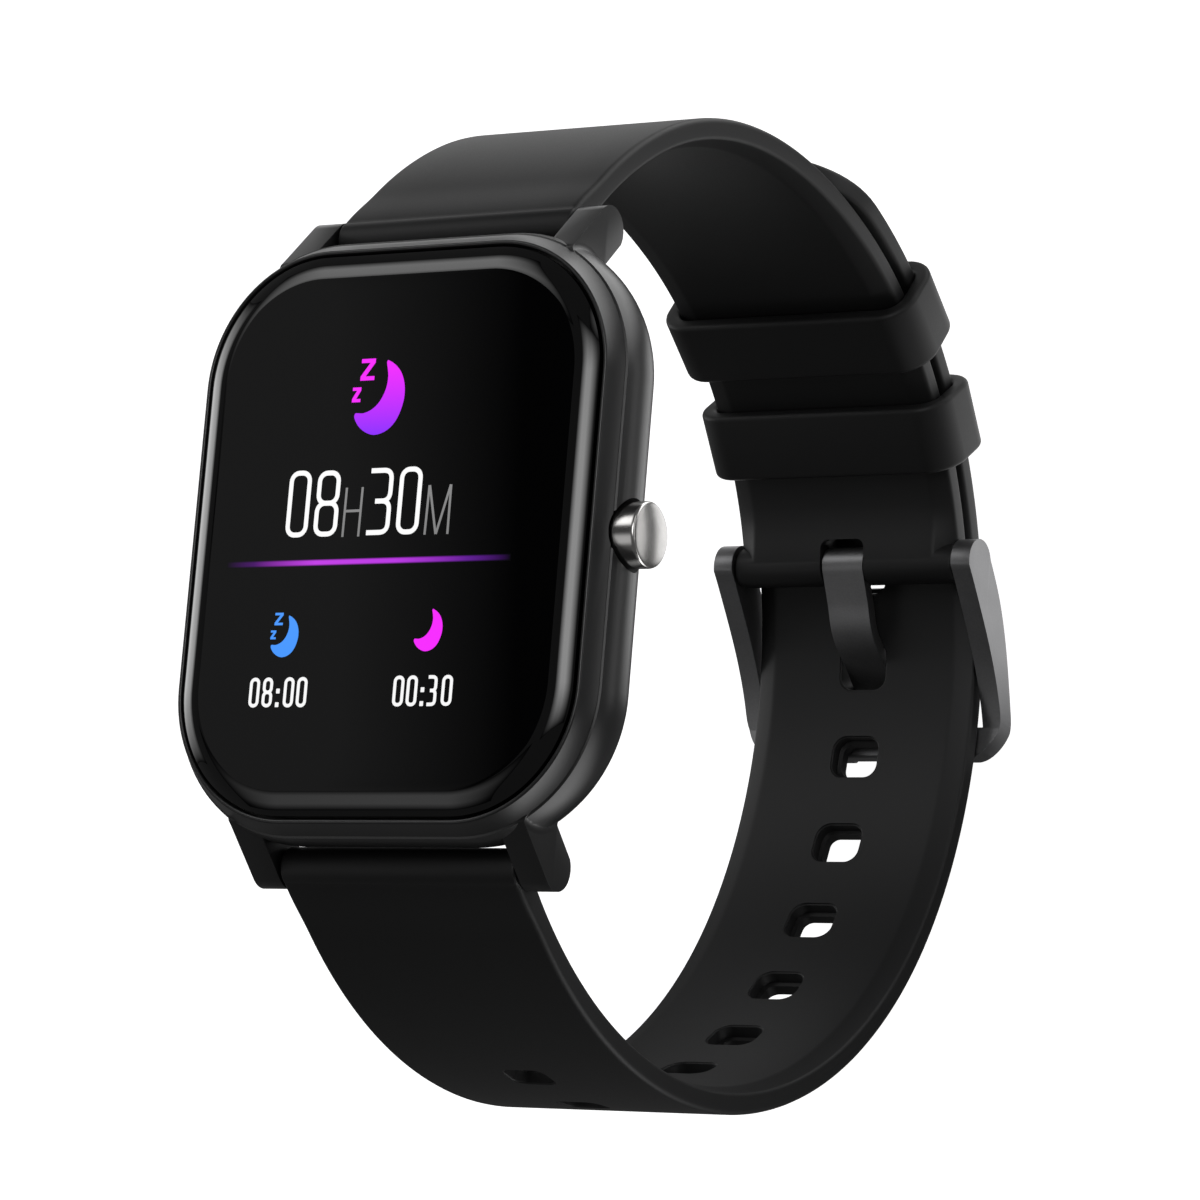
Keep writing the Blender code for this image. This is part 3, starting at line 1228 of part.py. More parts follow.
def tang_middle():
    """Middle line of the prong: straight off the pin, down through the hole, then flat on the crossbar."""
    y, z = on_loop(PIN_ANGLE, PIN_PLACE)
    lift = TANG_RING - TANG_THICK / 2
    run = Vector((-math.cos(TANG_SLOPE), -math.sin(TANG_SLOPE)))
    start = Vector((y, z)) + lift * Vector((-math.sin(TANG_SLOPE), math.cos(TANG_SLOPE)))
    hole = on_loop(TANG_HOLE_ANGLE, LOWER_RADIUS + STRAP_THICK / 2)
    lie = CROSSBAR_PLACE + CROSSBAR_THICK / 2 - NOTCH_DEPTH + TANG_THICK / 2 + SLIDE_FIT
    land = TANG_HOLE_ANGLE - TANG_LAND / LOWER_RADIUS
    tip = CROSSBAR_ANGLE - (CROSSBAR_WIDTH / 2 - TANG_OVERHANG) / CROSSBAR_PLACE
    return [
        start,
        start + run * TANG_RUN / 2,
        start + run * TANG_RUN,
        Vector(hole),
        Vector(on_loop(land, lie - TANG_THICK * 0.4)),
        Vector(on_loop((land * 2 + tip) / 3, lie)),
        Vector(on_loop(tip, lie)),
    ]


def flowing(points, steps):
    """Smooth line through points."""
    line = []
    for i in range(len(points) - 1):
        before = points[max(i - 1, 0)]
        after = points[min(i + 2, len(points) - 1)]
        a, b = points[i], points[i + 1]
        lean_a, lean_b = (b - before) / 2, (after - a) / 2
        for step in range(steps):
            t = step / steps
            line.append(
                a * (2 * t**3 - 3 * t**2 + 1)
                + lean_a * (t**3 - 2 * t**2 + t)
                + b * (3 * t**2 - 2 * t**3)
                + lean_b * (t**3 - t**2)
            )
    return line + [points[-1]]


def tang_outline():
    middle = flowing(tang_middle(), 4)
    wrist_side, out_side = [], []
    for i, point in enumerate(middle):
        ahead = middle[min(i + 1, len(middle) - 1)] - middle[max(i - 1, 0)]
        aside = Vector((ahead.y, -ahead.x)).normalized() * TANG_THICK / 2
        wrist_side.append(tuple(point + aside))
        out_side.append(tuple(point - aside))
    centre = on_loop(PIN_ANGLE, PIN_PLACE)
    top = math.pi / 2 + TANG_SLOPE
    back = math.acos((TANG_RING - TANG_THICK) / TANG_RING)
    ring = arc(centre, TANG_RING, top + back, top + 2 * math.pi, 16)
    reach = (Vector(out_side[0]) - Vector(centre)).length
    leave = out_side if reach > TANG_RING - TANG_THICK / 4 else wrist_side
    inside = wrist_side if leave is out_side else out_side
    past = TANG_RING * math.sin(back)
    kept = [p for p in inside if (Vector(p) - Vector(inside[0])).length > past]
    return ring[1:] + leave[1:] + kept[::-1]


build_case()
build_glass()
build_inner_frame()
build_electronics()
build_back()
build_button()
build_upper_strap()
build_lower_strap()
build_spring_bar("upper", 1)
build_spring_bar("lower", -1)
build_keepers()
build_buckle()
smooth_shading()
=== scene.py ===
import math

import bmesh
import bpy
from mathutils import Matrix, Vector


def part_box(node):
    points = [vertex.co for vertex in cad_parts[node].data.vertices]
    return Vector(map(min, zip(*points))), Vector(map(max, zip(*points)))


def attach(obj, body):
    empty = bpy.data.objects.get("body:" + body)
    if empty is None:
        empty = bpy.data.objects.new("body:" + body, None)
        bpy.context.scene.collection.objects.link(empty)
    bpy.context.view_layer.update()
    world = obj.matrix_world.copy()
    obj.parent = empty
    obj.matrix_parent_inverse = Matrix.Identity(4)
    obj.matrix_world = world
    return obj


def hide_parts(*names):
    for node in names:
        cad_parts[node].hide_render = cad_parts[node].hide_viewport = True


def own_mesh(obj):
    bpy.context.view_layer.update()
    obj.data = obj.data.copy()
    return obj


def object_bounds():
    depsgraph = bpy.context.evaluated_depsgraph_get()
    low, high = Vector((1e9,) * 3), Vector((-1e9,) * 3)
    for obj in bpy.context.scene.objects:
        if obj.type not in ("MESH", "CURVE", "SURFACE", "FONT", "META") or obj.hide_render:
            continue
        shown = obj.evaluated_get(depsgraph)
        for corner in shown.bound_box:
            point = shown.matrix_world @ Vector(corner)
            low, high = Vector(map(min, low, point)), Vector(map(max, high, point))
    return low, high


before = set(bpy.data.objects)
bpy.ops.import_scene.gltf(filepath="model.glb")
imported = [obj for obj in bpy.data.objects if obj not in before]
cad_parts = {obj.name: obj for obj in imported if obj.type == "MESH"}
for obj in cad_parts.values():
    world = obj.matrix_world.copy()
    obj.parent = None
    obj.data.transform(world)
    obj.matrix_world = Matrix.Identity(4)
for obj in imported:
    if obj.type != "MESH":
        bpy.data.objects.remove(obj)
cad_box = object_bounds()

MM = 0.001
PASS = 1.0 * MM  # how far a cutting tool runs past what it cuts
WELD = 0.0005 * MM  # points closer than this are one point

# Case, seen from the front, and its heights above the wrist face
CASE_WIDTH = 34.9 * MM
CASE_LENGTH = 42.6 * MM
CASE_CORNER = 10.3 * MM
CORNER_STEPS = 26
CASE_BOTTOM_Z = 1.9 * MM
SEAT_Z = 2.6 * MM
FLOOR_TOP_Z = 3.6 * MM
FRAME_Z = 6.5 * MM
LEDGE_Z = 9.0 * MM
GLASS_Z = 9.3 * MM
GLASS_TOP_Z = 10.8 * MM
LIP_TOP_Z = 10.15 * MM
CREASE_Z = 8.7 * MM

# Case section, as insets from the lip outline
LIP_SET = 0.45 * MM
LIP_INSET = 0.8 * MM
BAND_FLARE = 0.2 * MM
GROOVE_DEPTH = 0.14 * MM
GROOVE_HALF = 0.06 * MM
GROOVE_LEAD = 0.01 * MM
BULGE_INSET = 4.348 * MM
BULGE_RADIUS = 5.0 * MM
BULGE_TOP = math.radians(20)
BULGE_Z = 6.9 * MM
BULGE_STEPS = 22
WALL_INSET = 2.15 * MM
REBATE_INSET = 4.748 * MM
OPENING_INSET = 5.798 * MM
BOSS_RADIUS = 1.5 * MM
BOSS_X = 11.569 * MM
BOSS_Y = 15.419 * MM
BOSS_ROOT = 0.3 * MM
PILOT_RADIUS = 0.55 * MM
PILOT_LOW_Z = 4.6 * MM
PILOT_HIGH_Z = 7.3 * MM

# Glass edge
GLASS_INSET = 1.0 * MM
GLASS_EDGE_WIDTH = 1.9 * MM
GLASS_EDGE_DROP = 0.65 * MM
GLASS_EDGE_CURVE = 2
GLASS_CHAMFER = 0.2 * MM
GLASS_STEPS = 16

# Lugs and spring bars
LUG_IN_X = 10.15 * MM
LUG_OUT_X = 12.45 * MM
LUG_TIP = 1.7 * MM
LUG_SLOPE = math.radians(45)
LUG_BACK = math.radians(-118)
LUG_FILLET = 1.1 * MM
LUG_STEPS = 20
LUG_EASE = 0.45 * MM
LUG_TIP_BACK = 0.2 * MM
LUG_TIP_DROP = 0.25 * MM
LUG_TOP_DROP = 0.3 * MM
LUG_HEEL_IN = 1.3 * MM
LUG_HEEL_RISE = 0.3 * MM
LUG_BELOW = 0.4 * MM
LUG_SINK = 0.15 * MM
LUG_ROOT = 1.2 * WALL_INSET
LUG_DEEP = 1.5 * WALL_INSET
BAR_Y = 23.1 * MM
BAR_Z = 4.05 * MM
BAR_KNUCKLE = 1.5 * MM
KNUCKLE_EASE = 0.25 * MM
BAR_BORE = 0.95 * MM
BAR_HOLE = 0.55 * MM
BAR_HOLE_LEAD = 0.3 * MM
BAR_HOLE_END = 11.3 * MM
RELEASE_LOW_X = -6.55 * MM
RELEASE_HIGH_X = -3.55 * MM
RELEASE_HALF = 0.95 * MM
RELEASE_DEPTH = 4.45 * MM
COIL_WIRE = 0.1 * MM
COIL_TURNS = 6
COIL_STEPS = 16
WIRE_ANGLES = [math.pi * i / 4 for i in range(8)]

# Strap loop: angles run from straight below the case towards 12 o'clock
STRAP_WIDTH = 20.0 * MM
STRAP_THICK = 2.1 * MM
STRAP_TAPER = 0.02 * MM
STRAP_BORDER = 1.7 * MM
STRAP_BORDER_DROP = 0.5 * MM
STRAP_EDGE = 0.45 * MM
STRAP_INNER_EDGE = 0.28 * MM
STRAP_FOLD = 0.25 * MM
STRAP_FLAT_MARGIN = 0.5 * MM
LAYER_GAP = 0.3 * MM
LOOP_RADIUS = 36.4 * MM
LOOP_Z = BAR_Z - math.sqrt(LOOP_RADIUS**2 - BAR_Y**2)
LOOP_SHIFT = 0.7 * MM
UPPER_DROP = 1.6 * MM
UPPER_END = math.hypot(BAR_Y - LOOP_SHIFT, BAR_Z - LOOP_Z) - STRAP_THICK / 2
LOWER_END = math.hypot(BAR_Y + LOOP_SHIFT, BAR_Z - LOOP_Z) - STRAP_THICK / 2
UPPER_BAR_ANGLE = math.pi / 2 + math.atan2(BAR_Z - LOOP_Z, BAR_Y - LOOP_SHIFT)
LOWER_BAR_ANGLE = math.pi / 2 + math.atan2(BAR_Z - LOOP_Z, BAR_Y + LOOP_SHIFT)
UPPER_RADIUS = LOOP_RADIUS - STRAP_THICK / 2 - UPPER_DROP
LOWER_RADIUS = UPPER_RADIUS + STRAP_THICK + LAYER_GAP
LOWER_SINK = 0.1 * MM
UPPER_SINK_FROM = math.radians(118)
UPPER_SINK_TO = math.radians(68)
LOWER_SINK_AT = math.radians(-80)
LOWER_RISE_TO = math.radians(-32)
TAIL_ANGLE = math.radians(80)
TAIL_CORNER = 8.0 * MM
TAIL_STEPS = 18
TAIL_HALF = (STRAP_WIDTH - STRAP_TAPER) / 2
TAPER_END = math.radians(60)
CROSS_SHARES = (0.8, 0.59, 0.42, 0.32)
STRAP_STEP = math.radians(1.2)
KNUCKLE_RUN = math.radians(8)
ROLL_PROUD = 0.06 * MM
LUG_SWELL = BAR_KNUCKLE - ROLL_PROUD - STRAP_THICK / 2

# Buckle
PIN_ANGLE = math.radians(17.0)
PIN_KNUCKLE = 1.65 * MM
PIN_BORE = 0.85 * MM
PIN_BORE_REACH = 13 * MM
PIN_HOLE_WALL = 0.15 * MM
ROLL_CLEAR = 0.1 * MM
ROLL_EASE = 0.3 * MM
PIN_PLACE = UPPER_RADIUS + STRAP_THICK - PIN_KNUCKLE + ROLL_PROUD
PIN_SWELL = 2 * (PIN_KNUCKLE - ROLL_PROUD) - STRAP_THICK
ARM_ROUND = 1.9 * MM
ARM_IN_X = 10.15 * MM
ARM_OUT_X = 11.85 * MM
ARM_SLIM_FROM = 0.15
ARM_STEPS = 28
BUCKLE_REACH = 15.6 * MM
BUCKLE_CORNER = 4.0 * MM
BUCKLE_EASE = 0.45 * MM
PLAN_DEEP = 16 * MM
WINDOW_GAP = 0.1 * MM
CROSSBAR_THICK = 1.9 * MM
CROSSBAR_WIDTH = 2.5 * MM
CROSSBAR_MARGIN = 0.3 * MM
CROSSBAR_PLACE = LOWER_RADIUS + STRAP_THICK + LAYER_GAP + CROSSBAR_THICK / 2
CROSSBAR_ANGLE = PIN_ANGLE - BUCKLE_REACH / CROSSBAR_PLACE
CROSSBAR_FROM = CROSSBAR_ANGLE + CROSSBAR_WIDTH / 2 / CROSSBAR_PLACE
CROSSBAR_TO = CROSSBAR_ANGLE - CROSSBAR_WIDTH / 2 / CROSSBAR_PLACE
TANG_HALF = 1.85 * MM
TANG_THICK = 1.0 * MM
TANG_RING = 1.5 * MM
TANG_SLOPE = math.radians(27)
TANG_RUN = 5.6 * MM
TANG_LAND = 2.4 * MM
TANG_OVERHANG = 0.9 * MM
TANG_EASE = 0.2 * MM
TANG_SEAT_GAP = 0.1 * MM
NOTCH_DEPTH = 0.95 * MM
NOTCH_CORNER = 0.3 * MM
SLOT_HALF = 2.0 * MM
SLOT_TOP = 2.3 * MM
SLOT_LENGTH = 7.5 * MM
SLOT_CORNER = 0.7 * MM
SLOT_DEEP = 4 * MM

# Holes in the lower strap
HOLE_HALF_X = 2.05 * MM
HOLE_HALF_Y = 1.68 * MM
TANG_HOLE_HALF_Y = 1.95 * MM
HOLE_CORNER = 1.1 * MM
HOLE_RIM = 0.12 * MM
HOLE_STEP_IN = 0.32 * MM
HOLE_STEP_DEPTH = 1.15 * MM
HOLE_PITCH = 7.6 * MM
HOLE_STEP = HOLE_PITCH / LOWER_RADIUS
HOLES_BELOW = 9
HOLES_ABOVE = 3
TANG_HOLE_RUN = 8.45 * MM
TANG_HOLE_ANGLE = PIN_ANGLE - TANG_HOLE_RUN / LOWER_RADIUS

# Keepers
KEEPER_BAND = 5.7 * MM
KEEPER_WALL = 1.3 * MM
KEEPER_ROUND = 2.7 * MM
KEEPER_EASE = 0.38 * MM
KEEPER_LOW = UPPER_RADIUS - LAYER_GAP
KEEPER_HIGH = LOWER_RADIUS + STRAP_THICK + LAYER_GAP
KEEPER_HALF = 10.15 * MM
INNER_KEEPER_ANGLE = math.radians(35.3)
OUTER_KEEPER_ANGLE = math.radians(51.1)

# Button, along X
BUTTON_Z = 6.4 * MM
BUTTON_RADIUS = 2.35 * MM
BUTTON_FACE_X = 19.65 * MM
BUTTON_BACK_X = 17.6 * MM
BUTTON_DOME = 0.2 * MM
BUTTON_EASE = 0.25 * MM
BUTTON_STEPS = 8
RECESS_RADIUS = 2.6 * MM
RECESS_FLOOR_X = 16.95 * MM
RECESS_OUT_X = 20 * MM
STEM_RADIUS = 1.0 * MM
STEM_HOLE = 1.1 * MM
STEM_HOLE_END_X = 14.3 * MM
STEM_GROOVE = 0.7 * MM
STEM_END_X = 14.2 * MM
SEAL_POCKET = 1.7 * MM
SEAL_POCKET_X = 16.15 * MM
CLIP_LOW_X = 14.6 * MM
CLIP_HIGH_X = 15.05 * MM

# Screen graphics, a thin film on the glass; what is drawn is in millimetres
INK_LIFT = 0.012 * MM
INK_Z = GLASS_TOP_Z + INK_LIFT
INK_HIGH = 0.01 * MM
BIG_STROKE = 0.36
UNIT_STROKE = 0.19
SMALL_STROKE = 0.25
BIG_CORNER = 0.62
SMALL_CORNER = 0.3
DIGIT_WAIST = 0.505

# Photograph's camera, and the studio round the watch
LENS = 156.6
SENSOR = 36
CAMERA_PLACE = Vector((0.20476, -0.06612, 0.30931))
CAMERA_RIGHT = Vector((0.85286, 0.08109, -0.51582))
CAMERA_UP = Vector((0.01992, 0.98210, 0.18733))
CAMERA_BACK = Vector((0.52177, -0.17004, 0.83598))
FLOOR_Z = cad_box[0][2] - 0.3 * MM
FLOOR_CARD_Z = cad_box[0][2] - 0.6 * MM
FLOOR_CARD_SOFT = (0.25, 0.4)
FLAG_TOWARD = (-0.52, 0.17, 0.84)
FLAG_DISTANCE = 0.55
FLAG_SIZE = 0.21
FLAG_RUN = 0.14

SIDEWAYS = Matrix(((0, 0, 1, 0), (1, 0, 0, 0), (0, 1, 0, 0), (0, 0, 0, 1)))
ALONG_X = Matrix.Rotation(math.pi / 2, 4, "Y")
FLAT = Matrix.Identity(4)


# Outlines

def arc(centre, radius, start, end, steps):
    turns = [start + (end - start) * i / steps for i in range(steps + 1)]
    return [(centre[0] + radius * math.cos(a), centre[1] + radius * math.sin(a)) for a in turns]


def rounded(half_x, half_y, corner, steps=CORNER_STEPS, centre=(0, 0)):
    """Rounded rectangle, anticlockwise from its +X, +Y corner."""
    points = []
    for quarter, (sx, sy) in enumerate(((1, 1), (-1, 1), (-1, -1), (1, -1))):
        at = (centre[0] + sx * (half_x - corner), centre[1] + sy * (half_y - corner))
        points += arc(at, corner, quarter * math.pi / 2, (quarter + 1) * math.pi / 2, steps)
    return points


def eased_corner(before, at, after, reach, steps=5):
    """Soft bend that takes the place of one corner of a line."""
    before, at, after = Vector(before), Vector(at), Vector(after)
    start = at + (before - at).normalized() * min(reach, (before - at).length / 2)
    end = at + (after - at).normalized() * min(reach, (after - at).length / 2)
    bend = []
    for i in range(steps + 1):
        t = i / steps
        bend.append(tuple(start * (1 - t) ** 2 + at * 2 * t * (1 - t) + end * t**2))
    return bend


def case_ring(inset, z):
    outline = rounded(CASE_WIDTH / 2 - inset, CASE_LENGTH / 2 - inset, CASE_CORNER - inset)
    return [(x, y, z) for x, y in outline]


def smooth_step(low, high, value):
    t = min(max((value - low) / (high - low), 0), 1)
    return t * t * (3 - 2 * t)


def on_loop(angle, radius):
    """(Y, Z) of a point of the strap loop."""
    return (LOOP_SHIFT + radius * math.sin(angle), LOOP_Z - radius * math.cos(angle))


def across_loop(angle, radius):
    """Frame at a point of the loop: X across the strap, Y outwards, Z along the strap."""
    y, z = on_loop(angle, radius)
    sin, cos = math.sin(angle), math.cos(angle)
    return Matrix(((1, 0, 0, 0), (0, sin, cos, y), (0, -cos, sin, z), (0, 0, 0, 1)))


def through_loop(angle, radius):
    """Frame at a point of the loop: X across the strap, Y along the strap, Z inwards."""
    y, z = on_loop(angle, radius)
    sin, cos = math.sin(angle), math.cos(angle)
    return Matrix(((1, 0, 0, 0), (0, cos, -sin, y), (0, sin, cos, z), (0, 0, 0, 1)))


def flowing(points, steps, closed=False):
    """Smooth line through points."""
    points = [Vector(point) for point in points]
    count = len(points)
    line = []
    for i in range(count if closed else count - 1):
        a, b = points[i], points[(i + 1) % count]
        before = points[i - 1] if closed or i else a
        after = points[(i + 2) % count] if closed or i + 2 < count else b
        lean_a, lean_b = (b - before) / 2, (after - a) / 2
        for step in range(steps):
            t = step / steps
            line.append(
                a * (2 * t**3 - 3 * t**2 + 1)
                + lean_a * (t**3 - 2 * t**2 + t)
                + b * (3 * t**2 - 2 * t**3)
                + lean_b * (t**3 - t**2)
            )
    return line if closed else line + [points[-1]]


# Meshes

def mesh_from(bm, name):
    bmesh.ops.remove_doubles(bm, verts=bm.verts, dist=WELD)
    bmesh.ops.recalc_face_normals(bm, faces=bm.faces)
    mesh = bpy.data.meshes.new(name)
    bm.to_mesh(mesh)
    bm.free()
    return mesh


def loft(name, rings, around=False):
    """Skin over rings of equal count: capped at both ends, or closed on itself."""
    bm = bmesh.new()
    rows = [[bm.verts.new(point) for point in ring] for ring in rings]
    pairs = list(zip(rows, rows[1:]))
    if around:
        pairs.append((rows[-1], rows[0]))
    for row, after in pairs:
        for i in range(len(row)):
            j = (i + 1) % len(row)
            bm.faces.new((row[i], row[j], after[j], after[i]))
    if not around:
        bm.faces.new(rows[0])
        bm.faces.new(rows[-1])
    return mesh_from(bm, name)


def spun(name, profile, place, turn=FLAT, steps=64):
    """Closed profile of (radius, height) turned round the height axis."""
    bm = bmesh.new()
    rows = []
    for i in range(steps):
        angle = 2 * math.pi * i / steps
        rows.append([bm.verts.new((r * math.cos(angle), r * math.sin(angle), h)) for r, h in profile])
    for row, after in zip(rows, rows[1:] + rows[:1]):
        for i in range(len(profile) - 1):
            bm.faces.new((row[i], after[i], after[i + 1], row[i + 1]))
        if profile[0][0] > 0 and profile[-1][0] > 0:
            bm.faces.new((row[-1], after[-1], after[0], row[0]))
    bmesh.ops.transform(bm, matrix=Matrix.Translation(place) @ turn, verts=bm.verts)
    bmesh.ops.dissolve_degenerate(bm, dist=WELD, edges=bm.edges)
    return mesh_from(bm, name)


def bar(name, radius, low, high, steps=40):
    low, high = Vector(low), Vector(high)
    turn = (high - low).to_track_quat("Z", "Y").to_matrix().to_4x4()
    length = (high - low).length
    return spun(name, [(0, 0), (radius, 0), (radius, length), (0, length)], low, turn, steps)


def block(name, low, high):
    bm = bmesh.new()
    size = Vector(high) - Vector(low)
    bmesh.ops.create_cube(bm, size=1)
    bmesh.ops.scale(bm, vec=size, verts=bm.verts)
    bmesh.ops.translate(bm, vec=Vector(low) + size / 2, verts=bm.verts)
    return mesh_from(bm, name)


def evaluated(obj):
    bpy.context.view_layer.update()
    return bpy.data.meshes.new_from_object(obj.evaluated_get(bpy.context.evaluated_depsgraph_get()))


def on_bench(name, data):
    obj = bpy.data.objects.new(name, data)
    bpy.context.scene.collection.objects.link(obj)
    return obj


def drawn(name, lines, fill):
    """Curve drawn flat; a line is (points, closed), and closed lines may be filled."""
    curve = bpy.data.curves.new(name, "CURVE")
    curve.dimensions = "2D" if fill else "3D"
    if fill:
        curve.fill_mode = "BOTH"
    for points, closed in lines:
        spline = curve.splines.new("POLY")
        spline.points.add(len(points) - 1)
        for point, (x, y) in zip(spline.points, points):
            point.co = (x, y, 0, 1)
        spline.use_cyclic_u = closed
    return curve


def prism(name, outlines, low, high, place=FLAT):
    """Flat outline, with any holes after it, raised from low to high along the frame's own Z."""
    curve = drawn(name, [(outline, True) for outline in outlines], True)
    curve.extrude = (high - low) / 2
    guide = on_bench(name + "_outline", curve)
    flat = evaluated(guide)
    bpy.data.objects.remove(guide, do_unlink=True)
    bm = bmesh.new()
    bm.from_mesh(flat)
    bpy.data.meshes.remove(flat)
    bmesh.ops.translate(bm, vec=(0, 0, (low + high) / 2), verts=bm.verts)
    bmesh.ops.transform(bm, matrix=place, verts=bm.verts)
    return mesh_from(bm, name)


def worked(mesh, kind, tool=None, **settings):
    """Mesh after one modifier, with another mesh as its tool where it needs one."""
    obj = on_bench("on_bench", mesh)
    modifier = obj.modifiers.new(kind.lower(), kind)
    other = None
    if tool is not None:
        other = on_bench("bench_tool", tool)
        modifier.object = other
        modifier.solver = "EXACT"
    for key, value in settings.items():
        setattr(modifier, key, value)
    result = evaluated(obj)
    result.name = mesh.name
    for spare in (obj, other):
        if spare is not None:
            bpy.data.objects.remove(spare, do_unlink=True)
    return result


def cut(mesh, *tools):
    for tool in tools:
        mesh = worked(mesh, "BOOLEAN", tool, operation="DIFFERENCE")
    return mesh


def joined(mesh, *others):
    for other in others:
        mesh = worked(mesh, "BOOLEAN", other, operation="UNION")
    return mesh


def common(mesh, other):
    return worked(mesh, "BOOLEAN", other, operation="INTERSECT")


def eased(mesh, width, segments=3, angle=30):
    return worked(
        mesh, "BEVEL", width=width, segments=segments, limit_method="ANGLE", angle_limit=math.radians(angle)
    )


def mirrored(mesh, x=False, y=False):
    return worked(mesh, "MIRROR", use_axis=(x, y, False), use_mirror_merge=False)


def shaded(mesh, sharp=35, weighted=False):
    """Round faces smooth, edges sharper than the angle crisp."""
    for face in mesh.polygons:
        face.use_smooth = True
    mesh.set_sharp_from_angle(angle=math.radians(sharp))
    if weighted:
        mesh = worked(mesh, "WEIGHTED_NORMAL", keep_sharp=True)
    return mesh


def piece(name, mesh, finish, body, *nodes, slot=None):
    """Links a finished mesh as a piece that rides on a body and stands for CAD nodes."""
    obj = on_bench(name, mesh)
    mesh.materials.clear()
    mesh.materials.append(finish)
    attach(obj, body)
    if nodes:
        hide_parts(*nodes)
    return obj


# Shader building

class Wire:
    """A socket that Python sums can be written with."""

    def __init__(self, tree, socket):
        self.tree = tree
        self.socket = socket

    def plug(self, socket):
        self.tree.links.new(self.socket, socket)

    def maths(self, operation, first, second):
        node = self.tree.nodes.new("ShaderNodeMath")
        node.operation = operation
        for socket, value in zip(node.inputs, (first, second)):
            set_socket(socket, value)
        return Wire(self.tree, node.outputs[0])

    def __add__(self, other):
        return self.maths("ADD", self, other)

    def __radd__(self, other):
        return self.maths("ADD", other, self)

    def __sub__(self, other):
        return self.maths("SUBTRACT", self, other)

    def __rsub__(self, other):
        return self.maths("SUBTRACT", other, self)

    def __mul__(self, other):
        return self.maths("MULTIPLY", self, other)

    def __rmul__(self, other):
        return self.maths("MULTIPLY", other, self)

    def __truediv__(self, other):
        return self.maths("DIVIDE", self, other)

    def __gt__(self, other):
        return self.maths("GREATER_THAN", self, other)

    def __lt__(self, other):
        return self.maths("LESS_THAN", self, other)

    def __abs__(self):
        return self.maths("ABSOLUTE", self, 0)

    def __mod__(self, other):
        return self.maths("FLOORED_MODULO", self, other)


def set_socket(socket, value):
    if isinstance(value, Wire):
        value.plug(socket)
    elif isinstance(value, (tuple, list)) and len(value) == 3 and socket.type == "RGBA":
        socket.default_value = (*value, 1)
    else:
        socket.default_value = value


class Finish:
    """A material being mixed: node() adds a node, surface() sets the main shader."""

    def __init__(self, name):
        self.material = bpy.data.materials.new(name)
        self.material.use_nodes = True
        self.tree = self.material.node_tree
        self.shader = self.tree.nodes["Principled BSDF"]

    def node(self, kind, settings=None, out=0, numbered=None, **sockets):
        """Any node: its type, its settings, the output wanted, and its sockets by number or by name."""
        node = self.tree.nodes.new("ShaderNode" + kind)
        for key, value in (settings or {}).items():
            if key == "stops":
                self.set_stops(node.color_ramp, value)
            else:
                setattr(node, key, value)
        for key, value in (numbered or {}).items():
            set_socket(node.inputs[key], value)
        for key, value in sockets.items():
            set_socket(node.inputs[key.replace("_", " ")], value)
        return Wire(self.tree, node.outputs[out])

    def set_stops(self, ramp, stops):
        while len(ramp.elements) < len(stops):
            ramp.elements.new(1)
        for element, (place, colour) in zip(ramp.elements, stops):
            element.position = place
            element.color = (*colour, 1)

    def place(self):
        return self.node("TexCoord", out=3)

    def along(self, axis):
        return self.node("SeparateXYZ", out="XYZ".index(axis), Vector=self.place())

    def grain(self, size, detail=2, stretch=(1, 1, 1)):
        """Noise whose features are about size metres wide."""
        scale = [1 / (size * s) for s in stretch]
        vector = self.node("Mapping", {"vector_type": "POINT"}, Vector=self.place(), Scale=scale)
        return self.node("TexNoise", Vector=vector, Scale=1.0, Detail=detail)

    def blend(self, dark, light, mix):
        return self.node("Mix", {"data_type": "RGBA"}, 2, {0: mix, 6: dark, 7: light})

    def bump(self, height, depth, strength):
        return self.node("Bump", Height=height, Distance=depth, Strength=strength)

    def surface(self, **sockets):
        for key, value in sockets.items():
            set_socket(self.shader.inputs[key.replace("_", " ")], value)
        return self.material


def grained(name, fine, dark, light, rough, bump, cloud=None, **sockets):
    """Fine grain in the roughness and the surface; the colour follows it too, or a broader cloud."""
    f = Finish(name)
    mark = f.grain(*fine)
    tint = f.grain(*cloud) if cloud else mark
    least, more = rough
    return f.surface(
        Base_Color=f.blend(dark, light, tint),
        Roughness=least + more * mark,
        Normal=f.bump(mark, *bump),
        **sockets,
    )


def satin_black_case():
    return grained(
        "satin_black_case",
        fine=(0.09 * MM, 3),
        cloud=(6 * MM, 2),
        dark=(0.012, 0.012, 0.0125),
        light=(0.02, 0.02, 0.021),
        rough=(0.27, 0.08),
        bump=(0.004 * MM, 0.5),
        IOR=1.5,
    )


def cover_glass():
    f = Finish("cover_glass")
    smear = f.grain(9 * MM, 4, (1, 2.5, 1))
    return f.surface(
        Base_Color=f.blend((0.0015, 0.0015, 0.0017), (0.0025, 0.0025, 0.003), smear),
        Roughness=0.02 + 0.03 * smear,
        IOR=1.52,
    )


def polished_steel():
    return grained(
        "polished_steel",
        fine=(0.25 * MM, 3, (0.12, 1, 1)),
        cloud=(1.2 * MM, 2),
        dark=(0.46, 0.45, 0.44),
        light=(0.6, 0.59, 0.58),
        rough=(0.16, 0.1),
        bump=(0.003 * MM, 0.3),
        Metallic=1.0,
    )


def black_silicone():
    return grained(
        "black_silicone",
        fine=(0.12 * MM, 3),
        cloud=(7 * MM, 3),
        dark=(0.0105, 0.0105, 0.011),
        light=(0.0135, 0.0135, 0.014),
        rough=(0.47, 0.1),
        bump=(0.005 * MM, 0.5),
        IOR=1.37,
    )


